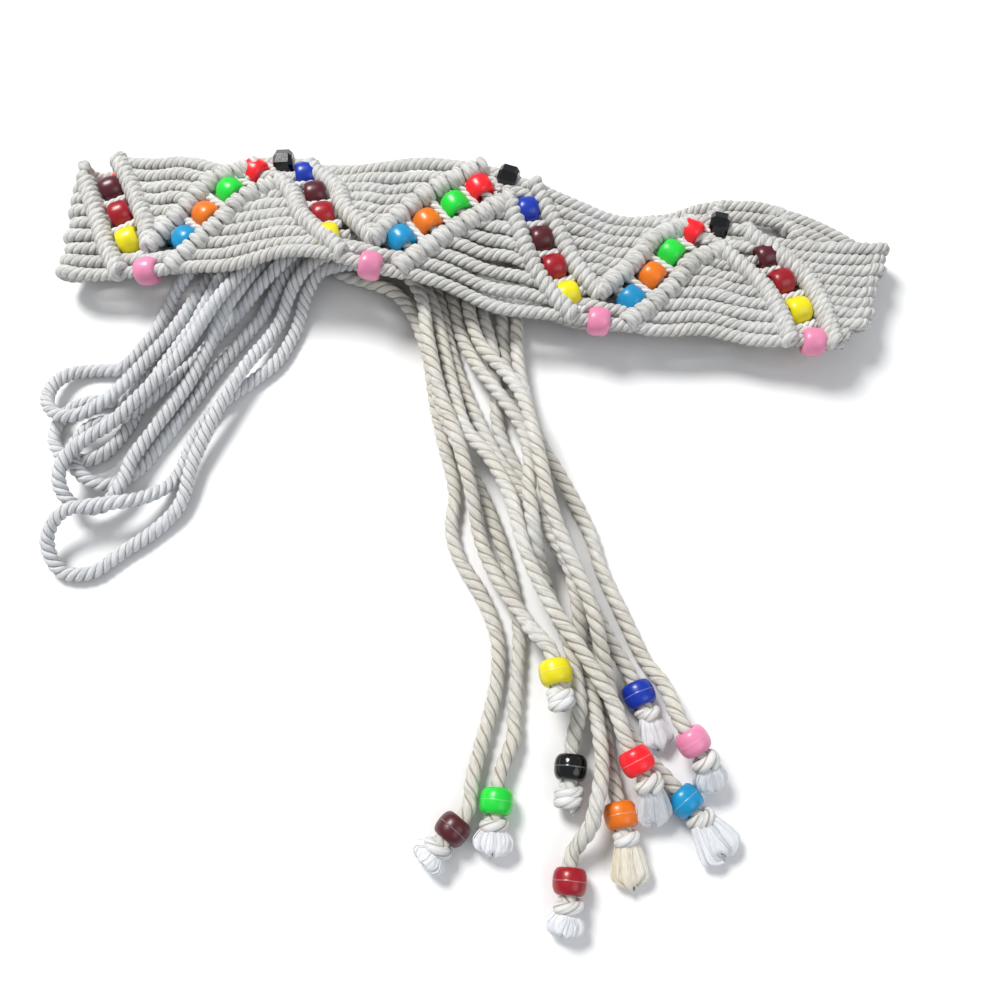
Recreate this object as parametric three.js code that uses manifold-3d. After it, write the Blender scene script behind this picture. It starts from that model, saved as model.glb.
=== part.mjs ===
// A knotted cord belt with beads, lying flat as a flattened ring: millimetres, +Z up.
// The band's front layer runs along X. Both of its ends fold under and lie beneath it: one ends in
// a fringe of ten beaded cords, the other in five cord loops.
import * as THREE from 'three';
import { mergeVertices } from 'three/addons/utils/BufferGeometryUtils.js';
import Module from 'manifold-3d';

const wasm = await Module();
wasm.setup();

// Cord and band
const cordDiameter = 4.3;
const workingCords = 10;
const cordSpacing = 0.14;
const cordPitch = cordDiameter + cordSpacing;
const bandWidth = (workingCords - 1) * cordPitch + cordDiameter;
const edgeChamfer = 1.5;
const clearance = 0.3;
const meshTolerance = 0.05;
const gridStep = 0.01;

// Beads
const beadDiameter = 9;
const beadLength = 6.8;
const beadBore = 5.2;
const beadFlat = 0.36;
const beadSides = 8;
const coreWidth = 2.6;

// Knotted ridges, in pairs on each side of a row of beads
const ridgeWidth = 6.2;
const ridgeCrestWidth = 3;
const ridgeCrest = beadDiameter / 2;
const ridgeOffset = (beadLength + ridgeWidth) / 2 + 2 * clearance;

// Layout of the flattened ring
const frontLength = 250;
const frontLeft = -136;
const fringeEndLength = 74;
const loopEndLength = 122;
const loopEndRise = 6.1;
const lowerLayer = beadDiameter / 2;
const upperLayer = lowerLayer + beadDiameter;
const layerStep = 20;
const foldSteps = 5;

// Free cords
const cordSides = 8;
const stepDiameters = 3;
const layGap = 0.48;
const floorGap = 0.1;
const laySpacing = 2.5;
const ownReach = 4 * cordDiameter;
const knotDiameter = 9;
const knotLength = 7.5;
const tuftThickness = 6;
const loopStart = 1;

const beadColours = {
  pink: 0xec82aa,
  sky: 0x1496c8,
  orange: 0xeb7814,
  green: 0x32e13c,
  coral: 0xfa3232,
  black: 0x0a0f14,
  blue: 0x0f46be,
  maroon: 0x641928,
  red: 0xb40a23,
  yellow: 0xebdc14,
};

// The band's sections. along is a share of that layer's length from its left end, across and spread
// are shares of the band's width, lift is a share of the bead's diameter above the layer's own
// level, tilt raises the far edge and skew slants the section in plan, in degrees.
const fringeEnd = [
  { along: 1.0, across: 2.3, lift: 0, tilt: 0, spread: 0.95, skew: 0 },
  { along: 0.75, across: 2.3, lift: 0, tilt: 0, spread: 0.94, skew: 0 },
  { along: 0.5, across: 2.29, lift: 0, tilt: 0, spread: 0.93, skew: 0 },
  { along: 0.22, across: 2.26, lift: 0, tilt: 0, spread: 0.94, skew: 0 },
  { along: 0, across: 2.2, lift: 0, tilt: 0, spread: 1.0, skew: 0 },
];
const front = [
  { along: 0, across: 2.13, lift: 0, tilt: 0, spread: 1.08, skew: 0 },
  { along: 0.056, across: 2.12, lift: 0.03, tilt: 0, spread: 1.1, skew: 0 },
  { along: 0.14, across: 2.075, lift: 0.4, tilt: 0, spread: 1.0, skew: 0 },
  { along: 0.196, across: 2.03, lift: 0.72, tilt: -3, spread: 0.94, skew: 0 },
  { along: 0.276, across: 2.055, lift: 0.93, tilt: -7, spread: 0.92, skew: 0 },
  { along: 0.326, across: 2.025, lift: 0.97, tilt: -10, spread: 0.89, skew: 0 },
  { along: 0.377, across: 2.015, lift: 0.93, tilt: -7, spread: 1.0, skew: 0 },
  { along: 0.416, across: 1.995, lift: 0.86, tilt: -3, spread: 1.03, skew: 0 },
  { along: 0.486, across: 1.94, lift: 0.83, tilt: 4, spread: 1.06, skew: 0 },
  { along: 0.558, across: 1.835, lift: 0.73, tilt: 8, spread: 1.1, skew: 0 },
  { along: 0.62, across: 1.7, lift: 0.56, tilt: 7, spread: 1.0, skew: 0 },
  { along: 0.668, across: 1.65, lift: 0.36, tilt: 4, spread: 0.94, skew: 0 },
  { along: 0.734, across: 1.61, lift: 0.14, tilt: 1, spread: 0.98, skew: 0 },
  { along: 0.808, across: 1.59, lift: 0.04, tilt: 0, spread: 0.95, skew: 0 },
  { along: 0.872, across: 1.51, lift: 0.02, tilt: 0, spread: 0.92, skew: 4 },
  { along: 0.938, across: 1.45, lift: 0.02, tilt: 0, spread: 0.91, skew: 12 },
  { along: 1, across: 1.43, lift: 0, tilt: 0, spread: 0.93, skew: 20 },
];
const loopEnd = [
  { along: 1, across: 1.54, lift: 0, tilt: 0, spread: 0.95, skew: 20 },
  { along: 0.92, across: 1.74, lift: 0, tilt: 0, spread: 0.97, skew: 13 },
  { along: 0.83, across: 1.87, lift: 0, tilt: 0, spread: 0.98, skew: 6 },
  { along: 0.72, across: 1.94, lift: 0, tilt: 0, spread: 0.98, skew: 0 },
  { along: 0.61, across: 1.9, lift: 0, tilt: 0, spread: 0.98, skew: 0 },
  { along: 0.48, across: 1.79, lift: 0.06, tilt: 0, spread: 0.97, skew: 0 },
  { along: 0.34, across: 1.72, lift: 0.3, tilt: 0, spread: 0.94, skew: 0 },
  { along: 0.19, across: 1.8, lift: 0.8, tilt: 0, spread: 0.94, skew: 0 },
  { along: 0, across: 1.985, lift: 1, tilt: 0, spread: 0.98, skew: 0 },
];

// The zigzag's rows, from the fringe end: each runs across the band from one corner to the next.
// from and to are shares of the front layer's path, counted from its left fold. Rows that show hold
// beads: along is a share of the row, across and corner are shares of half the cords' spread.
const zigzagRows = [
  { rises: false, from: -0.3, to: -0.2, beads: [] },
  { rises: true, from: -0.2, to: -0.06, beads: [] },
  { rises: false, from: 0, to: 0.097, corner: -1, beads: [
    { along: 0.317, across: 0.5 }, { along: 0.5, across: 0.04 }, { along: 0.676, across: -0.43 },
  ] },
  { rises: true, from: 0.097, to: 0.261, corner: 1.1, beads: [
    { along: 0.289, across: -0.475 }, { along: 0.432, across: -0.01 },
    { along: 0.606, across: 0.5 }, { along: 0.782, across: 0.93 },
  ] },
  { rises: false, from: 0.261, to: 0.3825, corner: -1.06, beads: [
    { along: 0.249, across: 0.84 }, { along: 0.372, across: 0.38 },
    { along: 0.483, across: -0.12 }, { along: 0.561, across: -0.625 },
  ] },
  { rises: true, from: 0.3825, to: 0.5526, corner: 0.95, beads: [
    { along: 0.207, across: -0.43 }, { along: 0.393, across: -0.05 },
    { along: 0.595, across: 0.325 }, { along: 0.78, across: 0.69 },
  ] },
  { rises: false, from: 0.5526, to: 0.6677, corner: -1.05, beads: [
    { along: 0.222, across: 0.54 }, { along: 0.38, across: 0.15 },
    { along: 0.52, across: -0.25 }, { along: 0.67, across: -0.655 },
  ] },
  { rises: true, from: 0.6677, to: 0.8272, corner: 1.12, beads: [
    { along: 0.265, across: -0.55 }, { along: 0.444, across: -0.05 },
    { along: 0.604, across: 0.42 }, { along: 0.778, across: 0.9 },
  ] },
  { rises: false, from: 0.8272, to: 0.9469, corner: -0.96, beads: [
    { along: 0.45, across: 0.638 }, { along: 0.606, across: 0.163 }, { along: 0.795, across: -0.363 },
  ] },
  { rises: true, from: 1.06, to: 1.2, beads: [] },
  { rises: false, from: 1.2, to: 1.31, beads: [] },
  { rises: true, from: 1.31, to: 1.45, beads: [] },
  { rises: false, from: 1.45, to: 1.55, beads: [] },
];
const riseColours = ['sky', 'orange', 'green', 'coral'];
const fallColours = ['blue', 'maroon', 'red', 'yellow'];

// Plan routes of the free cords, from the band's end, in the order in which they are laid: each one
// lies on those before it. tip is the far end of its frayed tuft.
const fringeRoutes = [
  { name: 'maroon', cord: 1, tip: [-17.5, -101.5], tuftWidth: 11, points: [
    [-51, 83], [-43, 78.5], [-35, 73.5], [-27.5, 65], [-23.5, 51], [-20, 30.5], [-17.5, 18.5],
    [-13.5, 0.5], [-14.5, -10], [-12, -19.5], [-5.5, -30.5], [-1, -42.5], [-0.5, -52],
    [-2, -62], [-5, -73], [-8, -84], [-10, -89], [-12.5, -95.5]] },
  { name: 'orange', cord: 8, tip: [34.5, -107], tuftWidth: 10, points: [
    [-38, 115.5], [-21, 108], [-9, 95], [-2, 80], [0.5, 64], [1.5, 49.5], [3, 40],
    [7, 29.5], [13.5, 12], [20, -4], [25, -20], [27, -40], [28, -56], [29, -71.5],
    [30, -87], [32, -92]] },
  { name: 'blue', cord: 7, tip: [42.5, -70], tuftWidth: 9, points: [
    [-40, 111.5], [-25, 104.5], [-13.5, 92], [-7.5, 76], [-5.5, 62], [-2.5, 50], [-1.5, 35.5],
    [0, 21], [6, 7], [11.5, -7], [17, -18], [23.5, -30], [29.5, -42.5], [36, -55], [38.5, -60]] },
  { name: 'pink', cord: 9, tip: [56.5, -81.5], tuftWidth: 9, points: [
    [-35, 119], [-16, 111.5], [-4, 98.5], [3.5, 82], [5.5, 64], [5.5, 46.5], [8, 30.5],
    [12, 16.5], [20, 2], [26.5, -11], [29.5, -22.5], [35, -36], [40.5, -49], [46.5, -60],
    [49, -67], [51.5, -73.5]] },
  { name: 'red', cord: 4, tip: [17, -120], tuftWidth: 10, points: [
    [-46, 97], [-35, 93], [-25, 83], [-19.5, 69], [-16.5, 54.5], [-12.5, 40], [-7.5, 27],
    [-2.5, 15.5], [5, 0.5], [13, -12], [19.5, -24], [22, -38], [23, -51], [26, -65],
    [27, -80], [24, -94], [20.5, -103], [18, -108.5]] },
  { name: 'black', cord: 5, tip: [18, -91], tuftWidth: 8, points: [
    [-44, 102], [-31, 96.5], [-20.5, 84], [-15.5, 69], [-12, 54], [-6.5, 41], [1, 30], [6.5, 20.5],
    [8.5, 10], [8.5, -4], [10.5, -19], [15, -35], [19.5, -48.5], [21.5, -63.5], [20.5, -74],
    [19, -80]] },
  { name: 'green', cord: 0, tip: [-2, -99], tuftWidth: 10.5, points: [
    [-52, 78], [-43, 74], [-34, 69.5], [-28, 61.5], [-24.5, 52.5], [-21, 40], [-17.5, 27],
    [-11.5, 13], [-5, -0.5], [0.5, -15.5], [3.5, -28], [5.5, -40], [5, -52.5], [4, -66],
    [3, -78], [-1, -88.5]] },
  { name: 'sky', cord: 6, tip: [58.5, -99.5], tuftWidth: 11, points: [
    [-42, 107], [-28, 100], [-17, 88], [-11.5, 73], [-9, 58], [-5.5, 48], [1, 39], [6.5, 28.5],
    [10.5, 11], [15.5, -8.5], [21.5, -23], [28, -35], [32, -52.5], [36, -68], [42, -78],
    [46.5, -84.5], [49.5, -88.5]] },
  { name: 'coral', cord: 3, tip: [41.5, -90], tuftWidth: 11, points: [
    [-48, 92.5], [-38, 88.5], [-29, 80], [-22.5, 68], [-18, 50], [-15, 36.5], [-10.5, 20],
    [-3, 9], [3, -4], [6.5, -19.5], [13.5, -36], [20.5, -47.5], [27.5, -59], [33, -69.5],
    [36, -79]] },
  { name: 'yellow', cord: 2, tip: [16.5, -64], tuftWidth: 7, points: [
    [-50, 88], [-40, 83.5], [-32, 77], [-25.5, 66.5], [-22.5, 50], [-18.5, 32], [-13, 16],
    [-8.5, -0.5], [-5.5, -15], [-0.5, -27.5], [6.5, -38.5], [12, -49], [15, -56]] },
];
const loopRoutes = [
  { name: 'loop_4', cord: 6, points: [
    [-24, 94.5], [-36, 95], [-54, 97], [-69, 93], [-83, 79], [-93, 68], [-103, 54], [-111, 42],
    [-120, 33], [-130, 32], [-137, 26], [-137, 17], [-130, 12], [-122, 14], [-116, 22],
    [-110, 35], [-102, 50], [-93, 65], [-83, 79], [-69, 93], [-54, 97], [-36, 95], [-24, 94.5]] },
  { name: 'loop_2', cord: 2, points: [
    [-24, 83.5], [-36, 84.6], [-50, 86], [-61, 83.5], [-69, 76.5], [-75, 67], [-82, 56], [-90, 44],
    [-97, 31], [-104, 19], [-111, 8], [-119, 3], [-127, 7], [-129, 15], [-124, 22], [-116, 24],
    [-107, 32], [-99, 44], [-91, 56], [-81, 66], [-69, 76.5], [-61, 83.5], [-50, 86],
    [-36, 84.6], [-24, 83.5]] },
  { name: 'loop_3', cord: 4, points: [
    [-24, 89], [-36, 89.8], [-52, 91.5], [-65, 88.5], [-76, 77.5], [-85, 64], [-92, 48], [-99, 33],
    [-106, 20], [-111, 10], [-113, 2], [-119, -5], [-128, -3], [-130, 6], [-125, 14],
    [-118, 19], [-111, 27], [-103, 38], [-95, 51], [-86, 64], [-76, 77.5], [-65, 88.5],
    [-52, 91.5], [-36, 89.8], [-24, 89]] },
  { name: 'loop_5', cord: 8, points: [
    [-24, 100.5], [-36, 100.2], [-55, 102.5], [-73, 98], [-88, 83], [-96, 70], [-104, 55], [-112, 43],
    [-119, 31], [-125, 25], [-134, 24], [-140, 31], [-138, 40], [-130, 43.5], [-121, 44],
    [-114, 53], [-106, 67], [-96, 76.5], [-88, 83], [-73, 98], [-55, 102.5], [-36, 100.2],
    [-24, 100.5]] },
  { name: 'loop_1', cord: 0, points: [
    [-24, 74.5], [-36, 75.5], [-48, 77.5], [-57, 76.5], [-62.5, 70], [-66, 58], [-71, 47], [-79, 39],
    [-88, 31], [-94, 21], [-97, 10], [-101, 2], [-109, -4], [-118, -6], [-127, -8],
    [-132, -15], [-129, -23], [-120, -24], [-112, -18], [-103, -11], [-96, -3], [-93, 11],
    [-87, 27], [-80, 42], [-72, 58], [-66, 71], [-58, 78.5], [-48, 81], [-36, 79.8], [-24, 78.8]] },
];

const along = (curve, share) => curve.getPointAt(Math.min(1, Math.max(0, share)));
const degrees = THREE.MathUtils.degToRad;

// The band's path: one row of numbers for each section, through the layers and folds in turn
function layerRows(table, left, length, level, liftSize) {
  return table.map((row) => ({
    x: left + row.along * length,
    y: row.across * bandWidth,
    z: level + row.lift * liftSize,
    tilt: row.tilt,
    spread: row.spread,
    skew: row.skew,
  }));
}
const keys = ['x', 'y', 'z', 'tilt', 'spread', 'skew'];

function catmull(a, b, c, d, t) {
  const slopeB = (c - a) / 2;
  const slopeC = (d - b) / 2;
  const t2 = t * t;
  const t3 = t2 * t;
  return (2 * t3 - 3 * t2 + 1) * b + (t3 - 2 * t2 + t) * slopeB
    + (3 * t2 - 2 * t3) * c + (t3 - t2) * slopeC;
}

function smoothRows(rows, spacing) {
  const out = [];
  for (let i = 0; i < rows.length - 1; i += 1) {
    const four = [rows[Math.max(0, i - 1)], rows[i], rows[i + 1], rows[Math.min(rows.length - 1, i + 2)]];
    const count = Math.max(1, Math.round(Math.abs(rows[i + 1].x - rows[i].x) / spacing));
    for (let k = 0; k < count; k += 1) {
      out.push(Object.fromEntries(keys.map((key) => [
        key, catmull(...four.map((row) => row[key]), k / count)])));
    }
  }
  out.push(rows[rows.length - 1]);
  return out;
}

function foldRows(from, to, outward) {
  const radius = Math.abs(to.z - from.z) / 2;
  const out = [];
  for (let k = 1; k < foldSteps; k += 1) {
    const share = k / foldSteps;
    const angle = Math.PI * share;
    const row = Object.fromEntries(keys.map((key) => [key, from[key] + (to[key] - from[key]) * share]));
    row.x = from.x + (to.x - from.x) * share + outward * radius * Math.sin(angle);
    row.z = (from.z + to.z) / 2 + (from.z - to.z) / 2 * Math.cos(angle);
    out.push(row);
  }
  return out;
}

const fringeRows = smoothRows(
  layerRows(fringeEnd, frontLeft, fringeEndLength, lowerLayer, beadDiameter), layerStep);
const frontRows = smoothRows(layerRows(front, frontLeft, frontLength, upperLayer, beadDiameter), layerStep);
const loopRows = smoothRows(layerRows(
  loopEnd, frontLeft + frontLength - loopEndLength, loopEndLength, lowerLayer, loopEndRise), layerStep);
const leftFold = foldRows(fringeRows[fringeRows.length - 1], frontRows[0], -1);
const rightFold = foldRows(frontRows[frontRows.length - 1], loopRows[0], 1);
const path = [...fringeRows, ...leftFold, ...frontRows, ...rightFold, ...loopRows];
let travelled = 0;
path.forEach((row, i) => {
  row.point = new THREE.Vector3(row.x, row.y, row.z);
  if (i > 0) travelled += row.point.distanceTo(path[i - 1].point);
  row.at = travelled;
});
const bandLength = travelled;
const frontStart = frontRows[0].at;
const frontRun = frontRows[frontRows.length - 1].at - frontStart;

path.forEach((row, i) => {
  const before = path[Math.max(0, i - 1)].point;
  const after = path[Math.min(path.length - 1, i + 1)].point;
  const tangent = after.clone().sub(before).normalize();
  const skew = degrees(row.skew);
  const tilt = degrees(row.tilt);
  row.across = new THREE.Vector3(
    Math.sin(skew) * Math.cos(tilt), Math.cos(skew) * Math.cos(tilt), Math.sin(tilt));
  row.normal = tangent.cross(row.across).normalize();
});

// A place on the band: u along its path, v across it at the cords' own pitch, n up from its middle
// towards the good side
function place(u, v, n) {
  let i = 0;
  while (i < path.length - 2 && path[i + 1].at < u) i += 1;
  const a = path[i];
  const b = path[i + 1];
  const t = (u - a.at) / (b.at - a.at);
  const across = a.across.clone().lerp(b.across, t);
  const normal = a.normal.clone().lerp(b.normal, t).normalize();
  return a.point.clone().lerp(b.point, t)
    .addScaledVector(across, v * THREE.MathUtils.lerp(a.spread, b.spread, t))
    .addScaledVector(normal, n);
}

// A closed skin over rings of points, each ring in the same order
function skin(rings) {
  const sides = rings[0].length;
  const positions = rings.flat().flatMap((p) => p.toArray());
  const index = [];
  for (let i = 0; i < rings.length - 1; i += 1) {
    for (let k = 0; k < sides; k += 1) {
      const a = i * sides + k;
      const b = i * sides + (k + 1) % sides;
      index.push(a, b, b + sides, a, b + sides, a + sides);
    }
  }
  const last = (rings.length - 1) * sides;
  for (let k = 1; k < sides - 1; k += 1) {
    index.push(0, k + 1, k, last, last + k, last + k + 1);
  }
  const geometry = new THREE.BufferGeometry();
  geometry.setAttribute('position', new THREE.Float32BufferAttribute(positions, 3));
  geometry.setIndex(index);
  return geometry;
}

function solid(geometry) {
  const bare = geometry.clone();
  bare.deleteAttribute('normal');
  bare.deleteAttribute('uv');
  const merged = mergeVertices(bare, 1e-4);
  const build = (triVerts) => new wasm.Manifold(new wasm.Mesh({
    numProp: 3, vertProperties: merged.attributes.position.array, triVerts }));
  const triVerts = new Uint32Array(merged.index.array);
  const made = build(triVerts);
  if (made.volume() >= 0) return made;
  for (let i = 0; i < triVerts.length; i += 3) {
    [triVerts[i + 1], triVerts[i + 2]] = [triVerts[i + 2], triVerts[i + 1]];
  }
  return build(triVerts);
}

function geometryOf(manifold) {
  const mesh = manifold.getMesh();
  const geometry = new THREE.BufferGeometry();
  geometry.setAttribute('position', new THREE.BufferAttribute(mesh.vertProperties, 3));
  geometry.setIndex(new THREE.BufferAttribute(mesh.triVerts, 1));
  return geometry;
}

// The largest piece, without any sliver that a cut or a joint leaves beside it
function mainPiece(manifold) {
  return manifold.decompose().reduce(
    (most, piece) => (piece.volume() > most.volume() ? piece : most));
}

// The same surface with its vertices on a fine grid, so that no two lie nearer than that
function onGrid(geometry) {
  const snapped = geometry.attributes.position.array.map((x) => Math.round(x / gridStep) * gridStep);
  const moved = new THREE.BufferGeometry();
  moved.setAttribute('position', new THREE.BufferAttribute(snapped, 3));
  moved.setIndex(geometry.index);
  const merged = mergeVertices(moved, gridStep / 10);
  const index = [];
  for (let i = 0; i < merged.index.count; i += 3) {
    const [a, b, c] = merged.index.array.slice(i, i + 3);
    if (a !== b && b !== c && a !== c) index.push(a, b, c);
  }
  merged.setIndex(index);
  return merged;
}

// The band's slab between its knots
function slabSolid() {
  const half = bandWidth / 2;
  const thick = cordDiameter / 2;
  const section = [
    [-half, 0], [-half + edgeChamfer, -thick], [half - edgeChamfer, -thick],
    [half, 0], [half - edgeChamfer, thick], [-half + edgeChamfer, thick],
  ];
  return solid(skin(path.map((row) => section.map(([v, n]) => place(row.at, v, n)))));
}

// A bar with one section along a line of (u, v) places; the section's own numbers are (side, n)
function barSolid(line, section) {
  const rings = line.map((at, i) => {
    const before = line[Math.max(0, i - 1)];
    const after = line[Math.min(line.length - 1, i + 1)];
    const length = Math.hypot(after[0] - before[0], after[1] - before[1]);
    const side = [-(after[1] - before[1]) / length, (after[0] - before[0]) / length];
    return section.map(([s, n]) => place(at[0] + side[0] * s, at[1] + side[1] * s, n));
  });
  return solid(skin(rings));
}

// The zigzag's rows and their beads in band coordinates, u along the band and v across it
const halfSpread = (workingCords - 1) * cordPitch / 2;
function zigzag() {
  return zigzagRows.map((row) => {
    const start = frontStart + row.from * frontRun;
    const end = frontStart + row.to * frontRun;
    const colours = (row.rises ? riseColours : fallColours).slice(-row.beads.length);
    const beads = row.beads.map((bead, k) => ({
      u: start + bead.along * (end - start), v: bead.across * halfSpread, colour: colours[k] }));
    const corner = { u: end, v: row.corner * halfSpread, colour: row.rises ? 'black' : 'pink' };
    return { rises: row.rises, start, end, beads, corner };
  });
}

// The two ridges of a row: offsets of its beads' line, from the inner corner to the edge
const cornerInset = bandWidth / 5;
const cornerReach = ridgeOffset + beadDiameter / 5;
const edgeSlack = 0.01;
const leastRidgeStep = 1;
function ridgeLines(row) {
  const rise = row.rises ? 1 : -1;
  const edge = halfSpread;
  return [1, -1].map((side) => {
    const first = side === rise
      ? [row.start, -rise * (edge - cornerInset)]
      : [row.start + cornerReach, -rise * edge];
    const last = side === rise
      ? [row.end - cornerReach, rise * edge]
      : [row.end, rise * (edge - cornerInset)];
    const line = [first, ...besideBeads(row.beads, side), last].filter(
      ([, v]) => Math.abs(v) <= edge + edgeSlack);
    return line.filter((at, i) => i === 0 || at[0] > line[i - 1][0] + leastRidgeStep);
  });
}

// Places beside the two beads in the middle of a row
function besideBeads(beads, side) {
  if (beads.length === 0) return [];
  const run = beads[beads.length - 1].u - beads[0].u;
  const climb = beads[beads.length - 1].v - beads[0].v;
  const length = Math.hypot(run, climb);
  return beads.slice(1, 3).map((bead) => [
    bead.u - side * climb / length * ridgeOffset, bead.v + side * run / length * ridgeOffset]);
}

const ridgeRoot = cordDiameter / 4;
const ridgeSection = [
  [-ridgeWidth / 2, ridgeRoot], [ridgeWidth / 2, ridgeRoot],
  [ridgeCrestWidth / 2, ridgeCrest], [-ridgeCrestWidth / 2, ridgeCrest],
];

// Beads of the rows that show, each with its axis in the band's plane
function frontBeads(rows) {
  return rows.filter((row) => row.beads.length > 0).flatMap((row) => {
    const first = row.beads[0];
    const last = row.beads[row.beads.length - 1];
    const slope = Math.atan2(last.v - first.v, last.u - first.u);
    const turn = slope > 0 ? slope - Math.PI / 2 : slope + Math.PI / 2;
    return [...row.beads.map((bead) => ({ ...bead, turn })), { ...row.corner, turn: 0 }];
  });
}

function beadFrame(bead) {
  const step = beadLength / 2;
  const [back, ahead] = [-step, step].map((du) => place(bead.u + du, bead.v, 0));
  const [near, far] = [-step, step].map((dv) => place(bead.u, bead.v + dv, 0));
  const centre = back.clone().add(ahead).add(near).add(far).multiplyScalar(1 / 4);
  const u = ahead.sub(back).normalize();
  const n = u.clone().cross(far.sub(near).normalize()).normalize();
  const w = n.clone().cross(u);
  const axis = u.clone().multiplyScalar(Math.cos(bead.turn)).addScaledVector(w, Math.sin(bead.turn));
  const side = n.clone().cross(axis);
  return new THREE.Matrix4().makeBasis(side, axis, n.clone().negate()).setPosition(centre);
}

function beadGeometry() {
  const flat = beadLength * beadFlat / 2;
  const profile = [
    [beadBore / 2, -beadLength / 2], [beadDiameter / 2, -flat], [beadDiameter / 2, flat],
    [beadBore / 2, beadLength / 2], [beadBore / 2, -beadLength / 2],
  ].map(([r, y]) => new THREE.Vector2(r, y));
  return new THREE.LatheGeometry(profile, beadSides);
}

function bandSolid(rows, beads) {
  let body = slabSolid();
  rows.forEach((row) => ridgeLines(row).forEach((line) => {
    const inside = line.filter(([u]) => u > ridgeWidth / 2 && u < bandLength - ridgeWidth / 2);
    if (inside.length > 1) body = body.add(barSolid(inside, ridgeSection));
  }));
  // Each bead sits in a pocket, on a core that crosses it
  const pocketLength = beadLength + 2 * clearance;
  const pocketWidth = beadDiameter + 2 * clearance;
  const pocketHeight = 2 * ridgeCrest + 2 * clearance;
  beads.forEach((bead) => {
    const frame = beadFrame(bead);
    const pocket = new THREE.BoxGeometry(pocketWidth, pocketLength, pocketHeight);
    const core = new THREE.BoxGeometry(coreWidth, pocketLength + coreWidth, coreWidth);
    body = body.subtract(solid(pocket.applyMatrix4(frame))).add(solid(core.applyMatrix4(frame)));
  });
  const coarse = onGrid(geometryOf(mainPiece(body.simplify(meshTolerance))));
  return mainPiece(solid(coarse).simplify(meshTolerance));
}

// Cords lie in the order of their table: each sample of a new cord is lifted until it clears the
// floor, the band's lower layer and every cord that lies there already
const laid = [];
function supportAt(x, y) {
  const fringeTop = lowerLayer + cordDiameter / 2 + clearance;
  const half = (bandWidth + cordDiameter) / 2;
  const middle = fringeRows[0].y;
  const over = x < fringeRows[0].x + 2 * cordDiameter && x > frontLeft && Math.abs(y - middle) < half;
  return over ? fringeTop : 0;
}

function layCord(route, radiusAt, supported) {
  const plan = new THREE.CatmullRomCurve3(
    route.map(([x, y]) => new THREE.Vector3(x, y, 0)), false, 'centripetal');
  const length = plan.getLength();
  const count = Math.ceil(length / laySpacing);
  const samples = [];
  for (let i = 0; i <= count; i += 1) {
    const p = plan.getPointAt(i / count);
    const s = i / count * length;
    const r = radiusAt(s, length);
    samples.push({ x: p.x, y: p.y, s, r });
  }
  samples.forEach((a) => {
    let z = a.r + floorGap + (supported ? supportAt(a.x, a.y) : 0);
    const others = [...laid, ...samples.filter((b) => b.s < a.s - ownReach)];
    others.forEach((b) => {
      const reach = a.r + b.r;
      const gap = Math.hypot(a.x - b.x, a.y - b.y);
      const rise = Math.sqrt(Math.max(0, reach * reach - gap * gap));
      z = Math.max(z, rise > 0 ? b.z + rise * (1 + layGap / reach) : 0);
    });
    a.z = z;
  });
  return smoothHeights(samples);
}

// Heights that stay above the ones needed, with gentle slopes between them
const holdReach = 4;
const blendReach = 3;
function smoothHeights(samples) {
  const needed = samples.map((a) => a.z);
  const spreadOut = needed.map((_, i) => Math.max(...needed.slice(
    Math.max(0, i - holdReach), i + holdReach + 1)));
  samples.forEach((a, i) => {
    const near = spreadOut.slice(Math.max(0, i - blendReach), i + blendReach + 1);
    a.z = near.reduce((sum, z) => sum + z, 0) / near.length;
  });
  return samples;
}

const circle = new THREE.Shape(Array.from({ length: cordSides }, (_, k) => {
  const angle = 2 * Math.PI * k / cordSides;
  return new THREE.Vector2(Math.cos(angle), Math.sin(angle)).multiplyScalar(cordDiameter / 2);
}));

function tube(points) {
  const curve = new THREE.CatmullRomCurve3(points, false, 'centripetal');
  const steps = Math.max(4, Math.round(curve.getLength() / (stepDiameters * cordDiameter)));
  return new THREE.ExtrudeGeometry(circle, { steps, bevelEnabled: false, extrudePath: curve });
}

function startOf(cord, end, out = clearance) {
  const v = (cord - (workingCords - 1) / 2) * cordPitch;
  return place(end === 'fringe' ? -out : bandLength + out, v, 0);
}

const root = new THREE.Group();
const model = new THREE.Group();
root.add(model);

function addMesh(name, geometry, material) {
  const mesh = new THREE.Mesh(geometry, material);
  mesh.name = name;
  model.add(mesh);
  return mesh;
}

const cordMaterial = new THREE.MeshStandardMaterial({ color: 0xcdcac3, roughness: 0.95, metalness: 0 });
const beadMaterial = (colour) => new THREE.MeshStandardMaterial({
  color: beadColours[colour], roughness: 0.22, metalness: 0 });

const rows = zigzag();
const beads = frontBeads(rows);
const onFloor = [addMesh('macrame_band', geometryOf(bandSolid(rows, beads)), cordMaterial)];
beads.forEach((bead, k) => {
  const number = String(k + 1).padStart(2, '0');
  const mesh = addMesh('bead_' + number + '_' + bead.colour,
    beadGeometry().applyMatrix4(beadFrame(bead)), beadMaterial(bead.colour));
  onFloor.push(mesh);
});

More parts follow.
